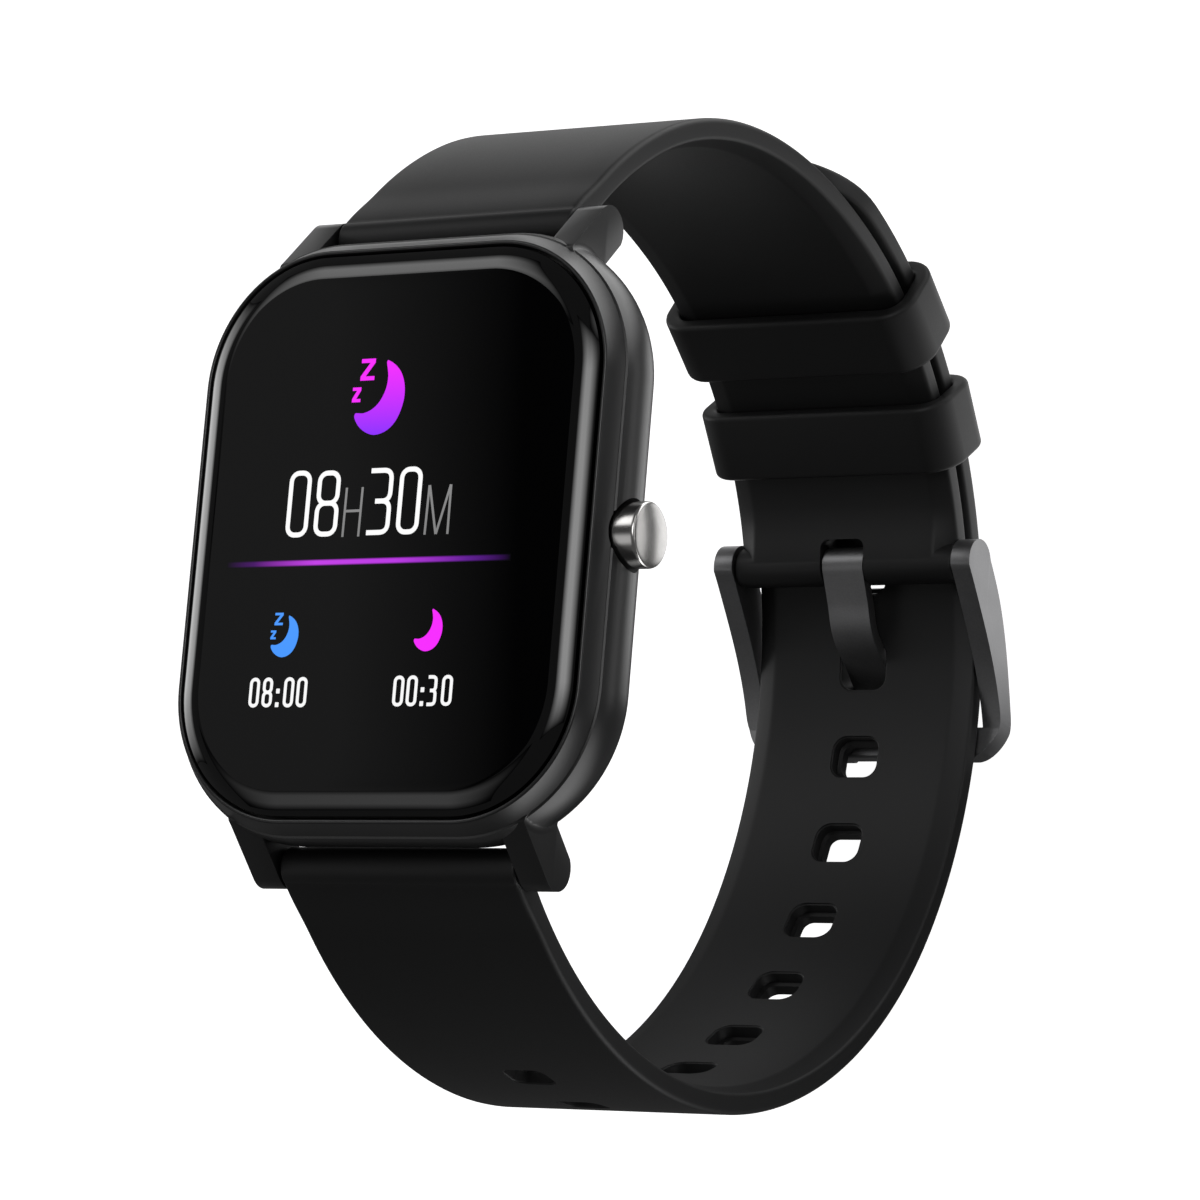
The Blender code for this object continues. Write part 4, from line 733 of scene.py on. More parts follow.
def dark_buckle_metal():
    f = Finish("dark_buckle_metal")
    blast = f.grain(0.16 * MM, 2)
    cloud = f.grain(3 * MM, 2)
    return f.surface(
        Base_Color=f.blend((0.16, 0.16, 0.163), (0.27, 0.27, 0.275), 0.6 * blast + 0.4 * cloud),
        Metallic=1.0,
        Roughness=0.36 + 0.16 * blast,
        Normal=f.bump(blast, 0.012 * MM, 0.6),
    )


def bar_steel():
    return grained(
        "bar_steel",
        fine=(0.08 * MM, 3, (12, 1, 1)),
        dark=(0.36, 0.36, 0.37),
        light=(0.55, 0.55, 0.56),
        rough=(0.22, 0.16),
        bump=(0.004 * MM, 0.4),
        Metallic=1.0,
    )


def seal_rubber():
    return grained(
        "seal_rubber",
        fine=(0.1 * MM, 3),
        dark=(0.005, 0.005, 0.005),
        light=(0.013, 0.013, 0.013),
        rough=(0.62, 0.2),
        bump=(0.01 * MM, 0.5),
    )


def display_laminate():
    f = Finish("display_laminate")
    rows = abs(f.along("Y") / (0.12 * MM) % 1 - 0.5)
    haze = f.grain(4 * MM, 2)
    return f.surface(
        Base_Color=f.blend((0.006, 0.006, 0.009), (0.03, 0.03, 0.04), rows),
        Roughness=0.18 + 0.12 * haze,
        Normal=f.bump(rows, 0.002 * MM, 0.3),
    )


def circuit_board():
    f = Finish("circuit_board")
    x, y = f.along("X"), f.along("Y")
    wobble = f.grain(1.4 * MM, 1) * 3
    tracks = abs(x / (0.9 * MM) + wobble - (y / (0.9 * MM)) % 1) % 1 > 0.72
    mask = f.grain(0.3 * MM, 2)
    return f.surface(
        Base_Color=f.blend((0.006, 0.05, 0.022), (0.02, 0.13, 0.055), tracks * 0.8 + mask * 0.2),
        Roughness=0.3 + 0.2 * mask,
        Normal=f.bump(tracks, 0.02 * MM, 0.6),
    )


def tin_plate():
    return grained(
        "tin_plate",
        fine=(0.2 * MM, 3, (1, 8, 1)),
        dark=(0.42, 0.42, 0.41),
        light=(0.58, 0.58, 0.57),
        rough=(0.28, 0.2),
        bump=(0.006 * MM, 0.4),
        Metallic=1.0,
    )


def cell_foil():
    return grained(
        "cell_foil",
        fine=(2.2 * MM, 5),
        dark=(0.28, 0.29, 0.31),
        light=(0.42, 0.43, 0.45),
        rough=(0.25, 0.25),
        bump=(0.08 * MM, 0.5),
        Metallic=1.0,
    )


def frame_plastic():
    return grained(
        "frame_plastic",
        fine=(0.22 * MM, 3, (1, 4, 1)),
        dark=(0.035, 0.035, 0.038),
        light=(0.075, 0.075, 0.08),
        rough=(0.42, 0.18),
        bump=(0.012 * MM, 0.5),
    )


def gold_contact():
    return grained(
        "gold_contact",
        fine=(0.12 * MM, 3, (4, 1, 1)),
        dark=(0.7, 0.47, 0.16),
        light=(0.88, 0.66, 0.3),
        rough=(0.16, 0.16),
        bump=(0.003 * MM, 0.4),
        Metallic=1.0,
    )


def back_plastic():
    return grained(
        "back_plastic",
        fine=(0.14 * MM, 3),
        cloud=(5 * MM, 2),
        dark=(0.009, 0.009, 0.0095),
        light=(0.016, 0.016, 0.017),
        rough=(0.36, 0.16),
        bump=(0.008 * MM, 0.6),
    )


def sensor_resin():
    f = Finish("sensor_resin")
    haze = f.grain(3 * MM, 3)
    return f.surface(
        Base_Color=f.blend((0.006, 0.006, 0.008), (0.018, 0.018, 0.022), haze),
        Roughness=0.06 + 0.06 * haze,
        IOR=1.52,
    )


def flex_film():
    f = Finish("flex_film")
    tracks = abs(f.along("X") / (0.5 * MM) % 1 - 0.5) < 0.22
    grain = f.grain(0.4 * MM, 2)
    return f.surface(
        Base_Color=f.blend((0.2, 0.075, 0.012), (0.5, 0.2, 0.05), tracks * 0.7 + grain * 0.3),
        Roughness=0.28 + 0.14 * grain,
        Normal=f.bump(tracks, 0.01 * MM, 0.5),
    )


def lamp_resin():
    return grained(
        "lamp_resin",
        fine=(0.4 * MM, 3),
        dark=(0.55, 0.58, 0.42),
        light=(0.75, 0.76, 0.66),
        rough=(0.2, 0.14),
        bump=(0.01 * MM, 0.3),
    )


def lit_ink(name, low, high, low_y, high_y):
    """Pixels lit from below: one colour running to another along Y."""
    f = Finish(name)
    climb = (f.along("Y") - low_y) / (high_y - low_y)
    fine = f.grain(0.05 * MM, 1)
    colour = f.node("ValToRGB", {"stops": ((0, low), (1, high))}, Fac=climb)
    return f.surface(
        Base_Color=(0.002, 0.002, 0.002),
        Roughness=0.08 + 0.04 * fine,
        Emission_Color=colour,
        Emission_Strength=1.0,
    )


def glow_line(low_x, high_x, middle_y, half_y):
    """Thin purple line, brightest in the middle and fading at both ends."""
    f = Finish("purple_line_light")
    run = (f.along("X") - low_x) / (high_x - low_x)
    rise = abs(f.along("Y") - middle_y) / half_y
    stops = (
        (0, (0.0, 0.0, 0.0)),
        (0.1, (0.06, 0.004, 0.13)),
        (0.32, (0.55, 0.05, 0.8)),
        (0.6, (0.5, 0.04, 0.78)),
        (0.85, (0.12, 0.012, 0.3)),
        (1, (0.0, 0.0, 0.0)),
    )
    hue = f.node("ValToRGB", {"stops": stops}, Fac=run)
    core = f.node("ValToRGB", {"stops": ((0, (1, 1, 1)), (0.45, (1, 1, 1)), (1, (0, 0, 0)))}, Fac=rise)
    return f.surface(
        Base_Color=(0.002, 0.002, 0.002),
        Roughness=0.08,
        Emission_Color=f.blend((0, 0, 0), hue, core),
        Emission_Strength=1.0,
    )


# Case, glass and button

def bulge_side():
    """Convex side of the case, from under the crease to the bottom land."""
    sweep = -math.pi / 2 - BULGE_TOP
    angles = [BULGE_TOP + sweep * i / BULGE_STEPS for i in range(BULGE_STEPS + 1)]
    return [(BULGE_INSET - BULGE_RADIUS * math.cos(a), BULGE_RADIUS * math.sin(a) + BULGE_Z) for a in angles]


def case_section():
    bead = (LIP_INSET - LIP_SET) / 2
    lip = arc((LIP_SET + bead, LIP_TOP_Z - bead), bead, 0, math.pi, 10)
    groove = [
        (-BAND_FLARE - GROOVE_LEAD, CREASE_Z + GROOVE_HALF),
        (-BAND_FLARE + GROOVE_DEPTH / 2, CREASE_Z + GROOVE_HALF / 3),
        (-BAND_FLARE + GROOVE_DEPTH / 2, CREASE_Z - GROOVE_HALF / 3),
    ]
    inside = [
        (REBATE_INSET, CASE_BOTTOM_Z),
        (REBATE_INSET, SEAT_Z),
        (OPENING_INSET, SEAT_Z),
        (OPENING_INSET, FLOOR_TOP_Z),
        (WALL_INSET, FLOOR_TOP_Z),
        (WALL_INSET, LEDGE_Z),
        (LIP_INSET, LEDGE_Z),
    ]
    return lip + groove + bulge_side() + inside


def case_inset(z):
    """Inset of the case's outer side at a height, band or bulge."""
    if z > CREASE_Z:
        return -BAND_FLARE
    return BULGE_INSET - math.sqrt(BULGE_RADIUS**2 - (z - BULGE_Z) ** 2)


def lug_plan(z):
    """Lug from the front at one height: straight sides, and a fillet that follows the case's corner."""
    low_y, high_y = CASE_LENGTH / 2 - LUG_DEEP, BAR_Y + 2 * LUG_TIP
    centre = Vector((CASE_WIDTH / 2 - CASE_CORNER, CASE_LENGTH / 2 - CASE_CORNER))
    reach = CASE_CORNER - case_inset(z) + LUG_FILLET - LUG_SINK
    bend_x = LUG_OUT_X + LUG_FILLET
    bend_y = centre.y + math.sqrt(reach**2 - (bend_x - centre.x) ** 2)
    touch = math.atan2(centre.y - bend_y, centre.x - bend_x) + 2 * math.pi
    fillet = arc((bend_x, bend_y), LUG_FILLET, touch, math.pi, 12)
    base = [(LUG_IN_X, low_y), (LUG_OUT_X, low_y)]
    return [(x, y, z) for x, y in [*base, *fillet, (LUG_OUT_X, high_y), (LUG_IN_X, high_y)]]


def lug_mesh():
    """One lug with a sloped front, round tip and eased edges, flaring into the case."""
    tip = (BAR_Y - LUG_TIP_BACK, BAR_Z - LUG_TIP_DROP)
    front = (tip[0] + LUG_TIP * math.cos(LUG_SLOPE), tip[1] + LUG_TIP * math.sin(LUG_SLOPE))
    top_z = LEDGE_Z - LUG_TOP_DROP
    root_y = CASE_LENGTH / 2 - LUG_ROOT
    side = [
        (root_y, top_z),
        (front[0] - (top_z - front[1]) / math.tan(LUG_SLOPE), top_z),
        *arc(tip, LUG_TIP, LUG_SLOPE, LUG_BACK, 20),
        (CASE_LENGTH / 2 - LUG_HEEL_IN, BAR_Z + LUG_HEEL_RISE),
        (root_y, BAR_Z + LUG_TIP / 2),
    ]
    low_z, high_z = BAR_Z - LUG_TIP - LUG_BELOW, LEDGE_Z
    heights = [low_z + (high_z - low_z) * i / LUG_STEPS for i in range(LUG_STEPS + 1)]
    lug = prism("lug", [side], LUG_IN_X - PASS, LUG_OUT_X + 2 * LUG_FILLET, SIDEWAYS)
    lug = common(lug, loft("lug_plan", [lug_plan(z) for z in heights]))
    return eased(lug, LUG_EASE, 4)


def make_case(finish):
    case = loft("case_shell", [case_ring(inset, z) for inset, z in case_section()], around=True)
    case = joined(case, mirrored(lug_mesh(), x=True, y=True))
    boss = bar("boss", BOSS_RADIUS, (BOSS_X, BOSS_Y, FLOOR_TOP_Z - BOSS_ROOT), (BOSS_X, BOSS_Y, FRAME_Z), 24)
    pilot = bar("pilot", PILOT_RADIUS, (BOSS_X, BOSS_Y, PILOT_LOW_Z), (BOSS_X, BOSS_Y, PILOT_HIGH_Z), 24)
    hole_ends = (LUG_IN_X - BAR_HOLE_LEAD, BAR_Y, BAR_Z), (BAR_HOLE_END, BAR_Y, BAR_Z)
    bar_hole = bar("bar_hole", BAR_HOLE, *hole_ends, 24)
    recess = spun(
        "button_recess",
        [
            (0, RECESS_OUT_X),
            (RECESS_RADIUS, RECESS_OUT_X),
            (RECESS_RADIUS, RECESS_FLOOR_X),
            (SEAL_POCKET, RECESS_FLOOR_X),
            (SEAL_POCKET, SEAL_POCKET_X),
            (STEM_HOLE, SEAL_POCKET_X),
            (STEM_HOLE, STEM_HOLE_END_X),
            (0, STEM_HOLE_END_X),
        ],
        (0, 0, BUTTON_Z),
        ALONG_X,
    )
    case = joined(case, mirrored(boss, x=True, y=True))
    case = cut(case, mirrored(pilot, x=True, y=True), mirrored(bar_hole, x=True, y=True), recess)
    piece("case_shell", shaded(case, 32), finish, "watch", "case_body", slot="satin_black_case")


def make_glass(finish):
    rings = [(GLASS_INSET + GLASS_CHAMFER, GLASS_Z), (GLASS_INSET, GLASS_Z + GLASS_CHAMFER)]
    for i in range(GLASS_STEPS + 1):
        t = i / GLASS_STEPS
        drop = GLASS_EDGE_DROP * (1 - t) ** GLASS_EDGE_CURVE
        rings.append((GLASS_INSET + GLASS_EDGE_WIDTH * t, GLASS_TOP_Z - drop))
    glass = loft("cover_lens", [case_ring(inset, z) for inset, z in rings])
    piece("cover_lens", shaded(glass, 40), finish, "watch", "display_glass", slot="cover_glass")


def make_button(finish):
    face = []
    edge = BUTTON_RADIUS - BUTTON_EASE
    for i in range(BUTTON_STEPS + 1):
        r = edge * i / BUTTON_STEPS
        face.append((r, BUTTON_FACE_X - BUTTON_DOME * (r / edge) ** 2))
    rim = eased_corner(
        face[-1],
        (BUTTON_RADIUS, BUTTON_FACE_X - BUTTON_DOME - BUTTON_EASE / 3),
        (BUTTON_RADIUS, BUTTON_BACK_X),
        BUTTON_EASE,
        5,
    )
    stem = [
        (BUTTON_RADIUS, BUTTON_BACK_X),
        (STEM_RADIUS, BUTTON_BACK_X),
        (STEM_RADIUS, CLIP_HIGH_X),
        (STEM_GROOVE, CLIP_HIGH_X),
        (STEM_GROOVE, CLIP_LOW_X),
        (STEM_RADIUS, CLIP_LOW_X),
        (STEM_RADIUS, STEM_END_X),
        (0, STEM_END_X),
    ]
    button = spun("button_crown", face + rim + stem, (0, 0, BUTTON_Z), ALONG_X)
    piece("button_crown", shaded(button, 40), finish, "button", "button_cap", slot="polished_steel")


# Straps, keepers and spring coils

def strap_half(angle):
    """Half the strap's width: full at the lugs, a little less round the buckle."""
    return (STRAP_WIDTH - STRAP_TAPER * smooth_step(UPPER_BAR_ANGLE, TAPER_END, abs(angle))) / 2


def upper_base(angle):
    return UPPER_END + (UPPER_RADIUS - UPPER_END) * smooth_step(UPPER_SINK_FROM, UPPER_SINK_TO, angle)


def lower_base(angle):
    if angle < LOWER_SINK_AT:
        return LOWER_END - LOWER_SINK * smooth_step(-LOWER_BAR_ANGLE, LOWER_SINK_AT, angle)
    low = LOWER_END - LOWER_SINK
    return low + (LOWER_RADIUS - low) * smooth_step(LOWER_SINK_AT, LOWER_RISE_TO, angle)


def strap_ring(angle, base, half, thick, sink=0.0):
    """Strap section: flat outside with rounded edges, bevelled borders on the wrist side."""
    drop = STRAP_BORDER_DROP * min(1, half / TAIL_HALF)
    border = min(STRAP_BORDER, half / 2)
    middle, fold = (0, -sink), (half - border, -sink)
    low, high = (half, drop), (half, thick)
    flat = half - border - min(STRAP_FLAT_MARGIN, (half - border) / 2)
    spread = [share * flat for share in CROSS_SHARES]
    section = [(x, -sink) for x in spread[::-1]]
    section += eased_corner(middle, fold, low, STRAP_FOLD, 4)
    section += eased_corner(fold, low, high, STRAP_INNER_EDGE, 4)
    section += eased_corner(low, high, (0, thick), STRAP_EDGE, 5)
    section += [(x, thick) for x in spread]
    section += [(-x, height) for x, height in section[::-1]]
    ring = []
    for x, height in section:
        y, z = on_loop(angle, base + height)
        ring.append((x, y, z))
    return ring


def steps_between(start, end):
    count = math.ceil(abs(end - start) / STRAP_STEP)
    return [start + (end - start) * i / count for i in range(count + 1)]


def lug_end(side):
    """Knuckle, bore and release window where a strap half hangs on its spring bar."""
    y = side * BAR_Y
    half = STRAP_WIDTH / 2 - ROLL_PROUD
    knuckle = eased(bar("knuckle", BAR_KNUCKLE, (-half, y, BAR_Z), (half, y, BAR_Z)), KNUCKLE_EASE, 3, 60)
    bore = bar("bore", BAR_BORE, (-half - PASS, y, BAR_Z), (half + PASS, y, BAR_Z), 28)
    window = block(
        "release_window",
        (RELEASE_LOW_X, y - RELEASE_HALF, BAR_Z - RELEASE_DEPTH),
        (RELEASE_HIGH_X, y + RELEASE_HALF, BAR_Z),
    )
    return knuckle, bore, window


def make_upper_strap(finish):
    rings = []
    for angle in steps_between(UPPER_BAR_ANGLE, PIN_ANGLE):
        lug_swell = smooth_step(UPPER_BAR_ANGLE - KNUCKLE_RUN, UPPER_BAR_ANGLE, angle) * LUG_SWELL
        pin_swell = smooth_step(PIN_ANGLE + KNUCKLE_RUN, PIN_ANGLE, angle) * PIN_SWELL
        thick, sink = STRAP_THICK + lug_swell, lug_swell + pin_swell
        rings.append(strap_ring(angle, upper_base(angle), strap_half(angle), thick, sink))
    strap = loft("upper_band", rings)
    knuckle, bore, window = lug_end(1)
    y, z = on_loop(PIN_ANGLE, PIN_PLACE)
    half = ARM_IN_X - ROLL_CLEAR
    roll = eased(bar("pin_roll", PIN_KNUCKLE, (-half, y, z), (half, y, z)), ROLL_EASE, 3, 60)
    pin_bore = bar("pin_bore", PIN_BORE, (-PIN_BORE_REACH, y, z), (PIN_BORE_REACH, y, z), 28)
    slot = prism(
        "tang_slot",
        [rounded(SLOT_HALF, (SLOT_TOP + SLOT_LENGTH) / 2, SLOT_CORNER, 6, (0, (SLOT_TOP - SLOT_LENGTH) / 2))],
        -SLOT_DEEP,
        SLOT_DEEP,
        through_loop(PIN_ANGLE, PIN_PLACE),
    )
    strap = joined(strap, knuckle, roll)
    strap = cut(strap, bore, window, pin_bore, slot)
    piece("upper_band", shaded(strap, 38), finish, "watch", "upper_strap", slot="black_silicone")


def hole_punch(name, place, half_y, step_in):
    """Rounded punch with eased rims, and a smaller mouth on the outer side."""
    half = STRAP_THICK / 2
    rim = [math.radians(90) * i / 5 for i in range(6)]
    ease = [(HOLE_RIM * math.sin(turn), HOLE_RIM * (1 - math.cos(turn))) for turn in rim]
    levels = [(-half - PASS, HOLE_RIM - step_in)]
    levels += [(-half + depth, HOLE_RIM - wide - step_in) for depth, wide in ease]
    if step_in:
        levels += [(half - HOLE_STEP_DEPTH, -step_in), (half - HOLE_STEP_DEPTH + HOLE_RIM, 0)]
    levels += [(half - depth, HOLE_RIM - wide) for depth, wide in ease[::-1]]
    levels += [(half + PASS, HOLE_RIM)]
    rings = []
    for level, wide in levels:
        outline = rounded(HOLE_HALF_X + wide, half_y + wide, HOLE_CORNER + wide, 8)
        rings.append([place @ Vector((x, y, level)) for x, y in outline])
    return loft(name, rings)


def make_lower_strap(finish):
    rings = []
    tip_run = TAIL_CORNER / LOWER_RADIUS
    for angle in steps_between(-LOWER_BAR_ANGLE, TAIL_ANGLE - tip_run):
        lug_swell = smooth_step(LOWER_BAR_ANGLE - KNUCKLE_RUN, LOWER_BAR_ANGLE, -angle) * LUG_SWELL
        thick = STRAP_THICK + lug_swell
        rings.append(strap_ring(angle, lower_base(angle), strap_half(angle), thick, lug_swell))
    for step in range(1, TAIL_STEPS + 1):
        turn = math.radians(90) * step / TAIL_STEPS
        angle = TAIL_ANGLE - tip_run * (1 - math.sin(turn))
        half = TAIL_HALF - TAIL_CORNER * (1 - math.cos(turn))
        rings.append(strap_ring(angle, LOWER_RADIUS, half, STRAP_THICK))
    strap = loft("lower_band", rings)
    for number in range(HOLES_BELOW + HOLES_ABOVE + 1):
        angle = TANG_HOLE_ANGLE + (HOLES_ABOVE - number) * HOLE_STEP
        place = through_loop(angle, lower_base(angle) + STRAP_THICK / 2)
        half_y, step_in = (HOLE_HALF_Y, HOLE_STEP_IN) if number != HOLES_ABOVE else (TANG_HOLE_HALF_Y, 0)
        strap = cut(strap, hole_punch(f"hole_{number}", place, half_y, step_in))
    knuckle, bore, window = lug_end(-1)
    strap = cut(joined(strap, knuckle), bore, window)
    piece("lower_band", shaded(strap, 38), finish, "watch", "lower_strap", slot="black_silicone")


def make_keeper(name, body, node, angle, finish):
    """Loop with a softly rounded wall all round both strap layers."""
    middle, half_high = (KEEPER_LOW + KEEPER_HIGH) / 2, (KEEPER_HIGH - KEEPER_LOW) / 2
    place = across_loop(angle, middle)
    wall = rounded(KEEPER_WALL / 2, KEEPER_BAND / 2, KEEPER_EASE, 5, (KEEPER_WALL / 2, 0))
    rings = []
    for offset, along in wall:
        inner_round = KEEPER_ROUND - KEEPER_WALL + offset
        outline = rounded(KEEPER_HALF + offset, half_high + offset, inner_round, 12)
        rings.append([place @ Vector((x, y, along)) for x, y in outline])
    keeper = loft(name, rings, around=True)
    piece(name, shaded(keeper, 40), finish, body, node, slot="black_silicone")


def make_coil(name, node, finish):
    """Spring inside a bar tube."""
    low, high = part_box(node)
    y, z = (low[1] + high[1]) / 2, (low[2] + high[2]) / 2
    radius = (high[1] - low[1]) / 2 - COIL_WIRE
    count = COIL_TURNS * COIL_STEPS
    rings = []
    for i in range(count + 1):
        turn = 2 * math.pi * i / COIL_STEPS
        out = Vector((0, math.cos(turn), math.sin(turn)))
        x = low[0] + COIL_WIRE + (high[0] - low[0] - 2 * COIL_WIRE) * i / count
        wire = [(COIL_WIRE * math.cos(a), COIL_WIRE * math.sin(a)) for a in WIRE_ANGLES]
        rings.append([Vector((x + side, y, z)) + (radius + lift) * out for side, lift in wire])
    coil = piece(name, shaded(loft(name, rings), 60), finish, "watch", node, slot="bar_steel")
    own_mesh(coil)


# Buckle

def arm_outline():
    """Side of the buckle frame: round at the pin, wide along the arm, slim at the crossbar."""
    outer, inner = [], []
    for i in range(ARM_STEPS + 1):
        t = i / ARM_STEPS
        angle = PIN_ANGLE + (CROSSBAR_FROM - PIN_ANGLE) * t
        place = PIN_PLACE + (CROSSBAR_PLACE - PIN_PLACE) * t
        half = ARM_ROUND + (CROSSBAR_THICK / 2 - ARM_ROUND) * smooth_step(ARM_SLIM_FROM, 1, t)
        outer.append(on_loop(angle, place + half))
        inner.append(on_loop(angle, place - half))
    pin = on_loop(PIN_ANGLE, PIN_PLACE)
    down = PIN_ANGLE - math.pi / 2
    round_end = arc(pin, ARM_ROUND, down + math.pi, down, 24)
    top = CROSSBAR_PLACE + CROSSBAR_THICK / 2
    base = CROSSBAR_PLACE - CROSSBAR_THICK / 2
    corners = [on_loop(CROSSBAR_FROM, top), on_loop(CROSSBAR_TO, top), on_loop(CROSSBAR_TO, base)]
    corners.append(on_loop(CROSSBAR_FROM, base))
    foot = eased_corner(corners[0], corners[1], corners[2], CROSSBAR_THICK / 3, 6)
    foot += eased_corner(corners[1], corners[2], corners[3], CROSSBAR_THICK / 3, 6)
    return round_end[1:-1] + outer + foot + inner[::-1]


def buckle_plan():
    """Frame seen from outside: square at the pin, rounded at the crossbar."""
    low = -CROSSBAR_WIDTH / 2 - CROSSBAR_MARGIN
    high = BUCKLE_REACH + 3 * ARM_ROUND
    bend_x, bend_y = ARM_OUT_X - BUCKLE_CORNER, low + BUCKLE_CORNER
    left = arc((-bend_x, bend_y), BUCKLE_CORNER, math.pi, math.pi * 1.5, 14)
    right = arc((bend_x, bend_y), BUCKLE_CORNER, math.pi * 1.5, math.pi * 2, 14)
    return left + right + [(ARM_OUT_X, high), (-ARM_OUT_X, high)]


def make_buckle(finish):
    y, z = on_loop(PIN_ANGLE, PIN_PLACE)
    at_bar = through_loop(CROSSBAR_ANGLE, CROSSBAR_PLACE)
    bow = prism("buckle_bow", [arm_outline()], -ARM_OUT_X, ARM_OUT_X, SIDEWAYS)
    bow = common(bow, prism("buckle_plan", [buckle_plan()], -PLAN_DEEP, PLAN_DEEP, at_bar))
    far = PIN_ANGLE + 3 * ARM_ROUND / PIN_PLACE
    near = CROSSBAR_FROM + WINDOW_GAP / CROSSBAR_PLACE
    low, high = PIN_PLACE - 3 * ARM_ROUND, CROSSBAR_PLACE + 3 * ARM_ROUND
    wedge = [on_loop(near, low), on_loop(near, high), on_loop(far, high), on_loop(far, low)]
    window = prism("buckle_window", [wedge], -ARM_IN_X, ARM_IN_X, SIDEWAYS)
    notch = prism(
        "tang_notch",
        [rounded(SLOT_HALF, CROSSBAR_WIDTH * 2, NOTCH_CORNER, 4)],
        -CROSSBAR_THICK * 2,
        -CROSSBAR_THICK / 2 + NOTCH_DEPTH,
        at_bar,
    )
    bow = eased(cut(bow, window, notch), BUCKLE_EASE, 4)
    reach = ARM_OUT_X - PIN_HOLE_WALL
    bow = cut(bow, bar("pin_hole", PIN_BORE, (-reach, y, z), (reach, y, z), 28))
    piece("buckle_bow", shaded(bow, 34, True), finish, "buckle", "buckle_frame", slot="dark_buckle_metal")
    prong = prism(
        "buckle_prong",
        [tang_outline(), arc((y, z), PIN_BORE, 0, 2 * math.pi, 28)[:-1]],
        -TANG_HALF,
        TANG_HALF,
        SIDEWAYS,
    )
    prong = eased(prong, TANG_EASE, 3, 50)
    piece("buckle_prong", shaded(prong, 34, True), finish, "tang", "buckle_tang", slot="dark_buckle_metal")


def tang_middle():
    """Middle line of the prong: straight off the pin, down through the hole, then flat on the crossbar."""
    y, z = on_loop(PIN_ANGLE, PIN_PLACE)
    lift = TANG_RING - TANG_THICK / 2
    run = Vector((-math.cos(TANG_SLOPE), -math.sin(TANG_SLOPE)))
    start = Vector((y, z)) + lift * Vector((-math.sin(TANG_SLOPE), math.cos(TANG_SLOPE)))
    hole = on_loop(TANG_HOLE_ANGLE, LOWER_RADIUS + STRAP_THICK / 2)
    lie = CROSSBAR_PLACE + CROSSBAR_THICK / 2 - NOTCH_DEPTH + TANG_THICK / 2 + TANG_SEAT_GAP
    land = TANG_HOLE_ANGLE - TANG_LAND / LOWER_RADIUS
    tip = CROSSBAR_ANGLE - (CROSSBAR_WIDTH / 2 - TANG_OVERHANG) / CROSSBAR_PLACE
    return [
        start,
        start + run * TANG_RUN / 2,
        start + run * TANG_RUN,
        Vector(hole),
        Vector(on_loop(land, lie - TANG_THICK * 0.4)),
        Vector(on_loop((land * 2 + tip) / 3, lie)),
        Vector(on_loop(tip, lie)),
    ]


def tang_outline():
    middle = flowing(tang_middle(), 8)
    wrist_side, out_side = [], []
    for i, point in enumerate(middle):
        ahead = middle[min(i + 1, len(middle) - 1)] - middle[max(i - 1, 0)]
        aside = Vector((ahead.y, -ahead.x)).normalized() * TANG_THICK / 2
        wrist_side.append(tuple(point + aside))
        out_side.append(tuple(point - aside))
    centre = on_loop(PIN_ANGLE, PIN_PLACE)
    top = math.pi / 2 + TANG_SLOPE
    back = math.acos((TANG_RING - TANG_THICK) / TANG_RING)
    ring = arc(centre, TANG_RING, top + back, top + 2 * math.pi, 32)
    reach = (Vector(out_side[0]) - Vector(centre)).length
    leave = out_side if reach > TANG_RING - TANG_THICK / 4 else wrist_side
    inside = wrist_side if leave is out_side else out_side
    past = TANG_RING * math.sin(back)
    kept = [p for p in inside if (Vector(p) - Vector(inside[0])).length > past]
    return ring[1:] + leave[1:] + kept[::-1]


# Screen graphics

def inked(name, curve, finish):
    """Flattens a drawn curve to a thin film on the glass."""
    guide = on_bench(name + "_guide", curve)
    mesh = evaluated(guide)
    bpy.data.objects.remove(guide, do_unlink=True)
    highest = max(abs(vertex.co.z) for vertex in mesh.vertices)
    flat = Matrix.Diagonal((MM, MM, INK_HIGH / highest / 2, 1))
    mesh.transform(Matrix.Translation((0, 0, INK_Z)) @ flat)
    mesh.name = name
    piece(name, shaded(mesh, 60), finish, "watch", slot="cover_glass")


def strokes(name, lines, width, finish):
    """Rounded strokes along lines; a line is (points, closed)."""
    curve = drawn(name, lines, False)
    curve.bevel_depth = width / 2
    curve.bevel_resolution = 1
    curve.use_fill_caps = True
    inked(name, curve, finish)


def filled(name, outlines, finish):
    curve = drawn(name, [(outline, True) for outline in outlines], True)
    curve.extrude = 0.01
    inked(name, curve, finish)


def zero(low_x, high_x, low_y, high_y, corner):
    centre = ((low_x + high_x) / 2, (low_y + high_y) / 2)
    return [(rounded((high_x - low_x) / 2, (high_y - low_y) / 2, corner, 6, centre), True)]


def eight(low_x, high_x, low_y, high_y, corner):
    middle = low_y + (high_y - low_y) * DIGIT_WAIST
    slim = (high_x - low_x) * 0.02
    top = zero(low_x + slim, high_x - slim, middle, high_y, corner)
    return top + zero(low_x, high_x, low_y, middle, corner)


def three(low_x, high_x, low_y, high_y, corner):
    middle = low_y + (high_y - low_y) * DIGIT_WAIST
    lines = []
    for low, high, sign in ((middle, high_y, 1), (low_y, middle, -1)):
        end, start = (high, low) if sign > 0 else (low, high)
        upright = eased_corner((low_x, end), (high_x, end), (high_x, start), corner, 7)
        upright += eased_corner((high_x, end), (high_x, start), (low_x, start), corner, 7)
        lines.append(([(low_x, end)] + upright + [(low_x + (high_x - low_x) * 0.3, start)], False))
    return lines


def colon(x, low_y, high_y, half):
    return [rounded(half, half * 1.15, half / 4, 3, (x, y)) for y in (low_y, high_y)]


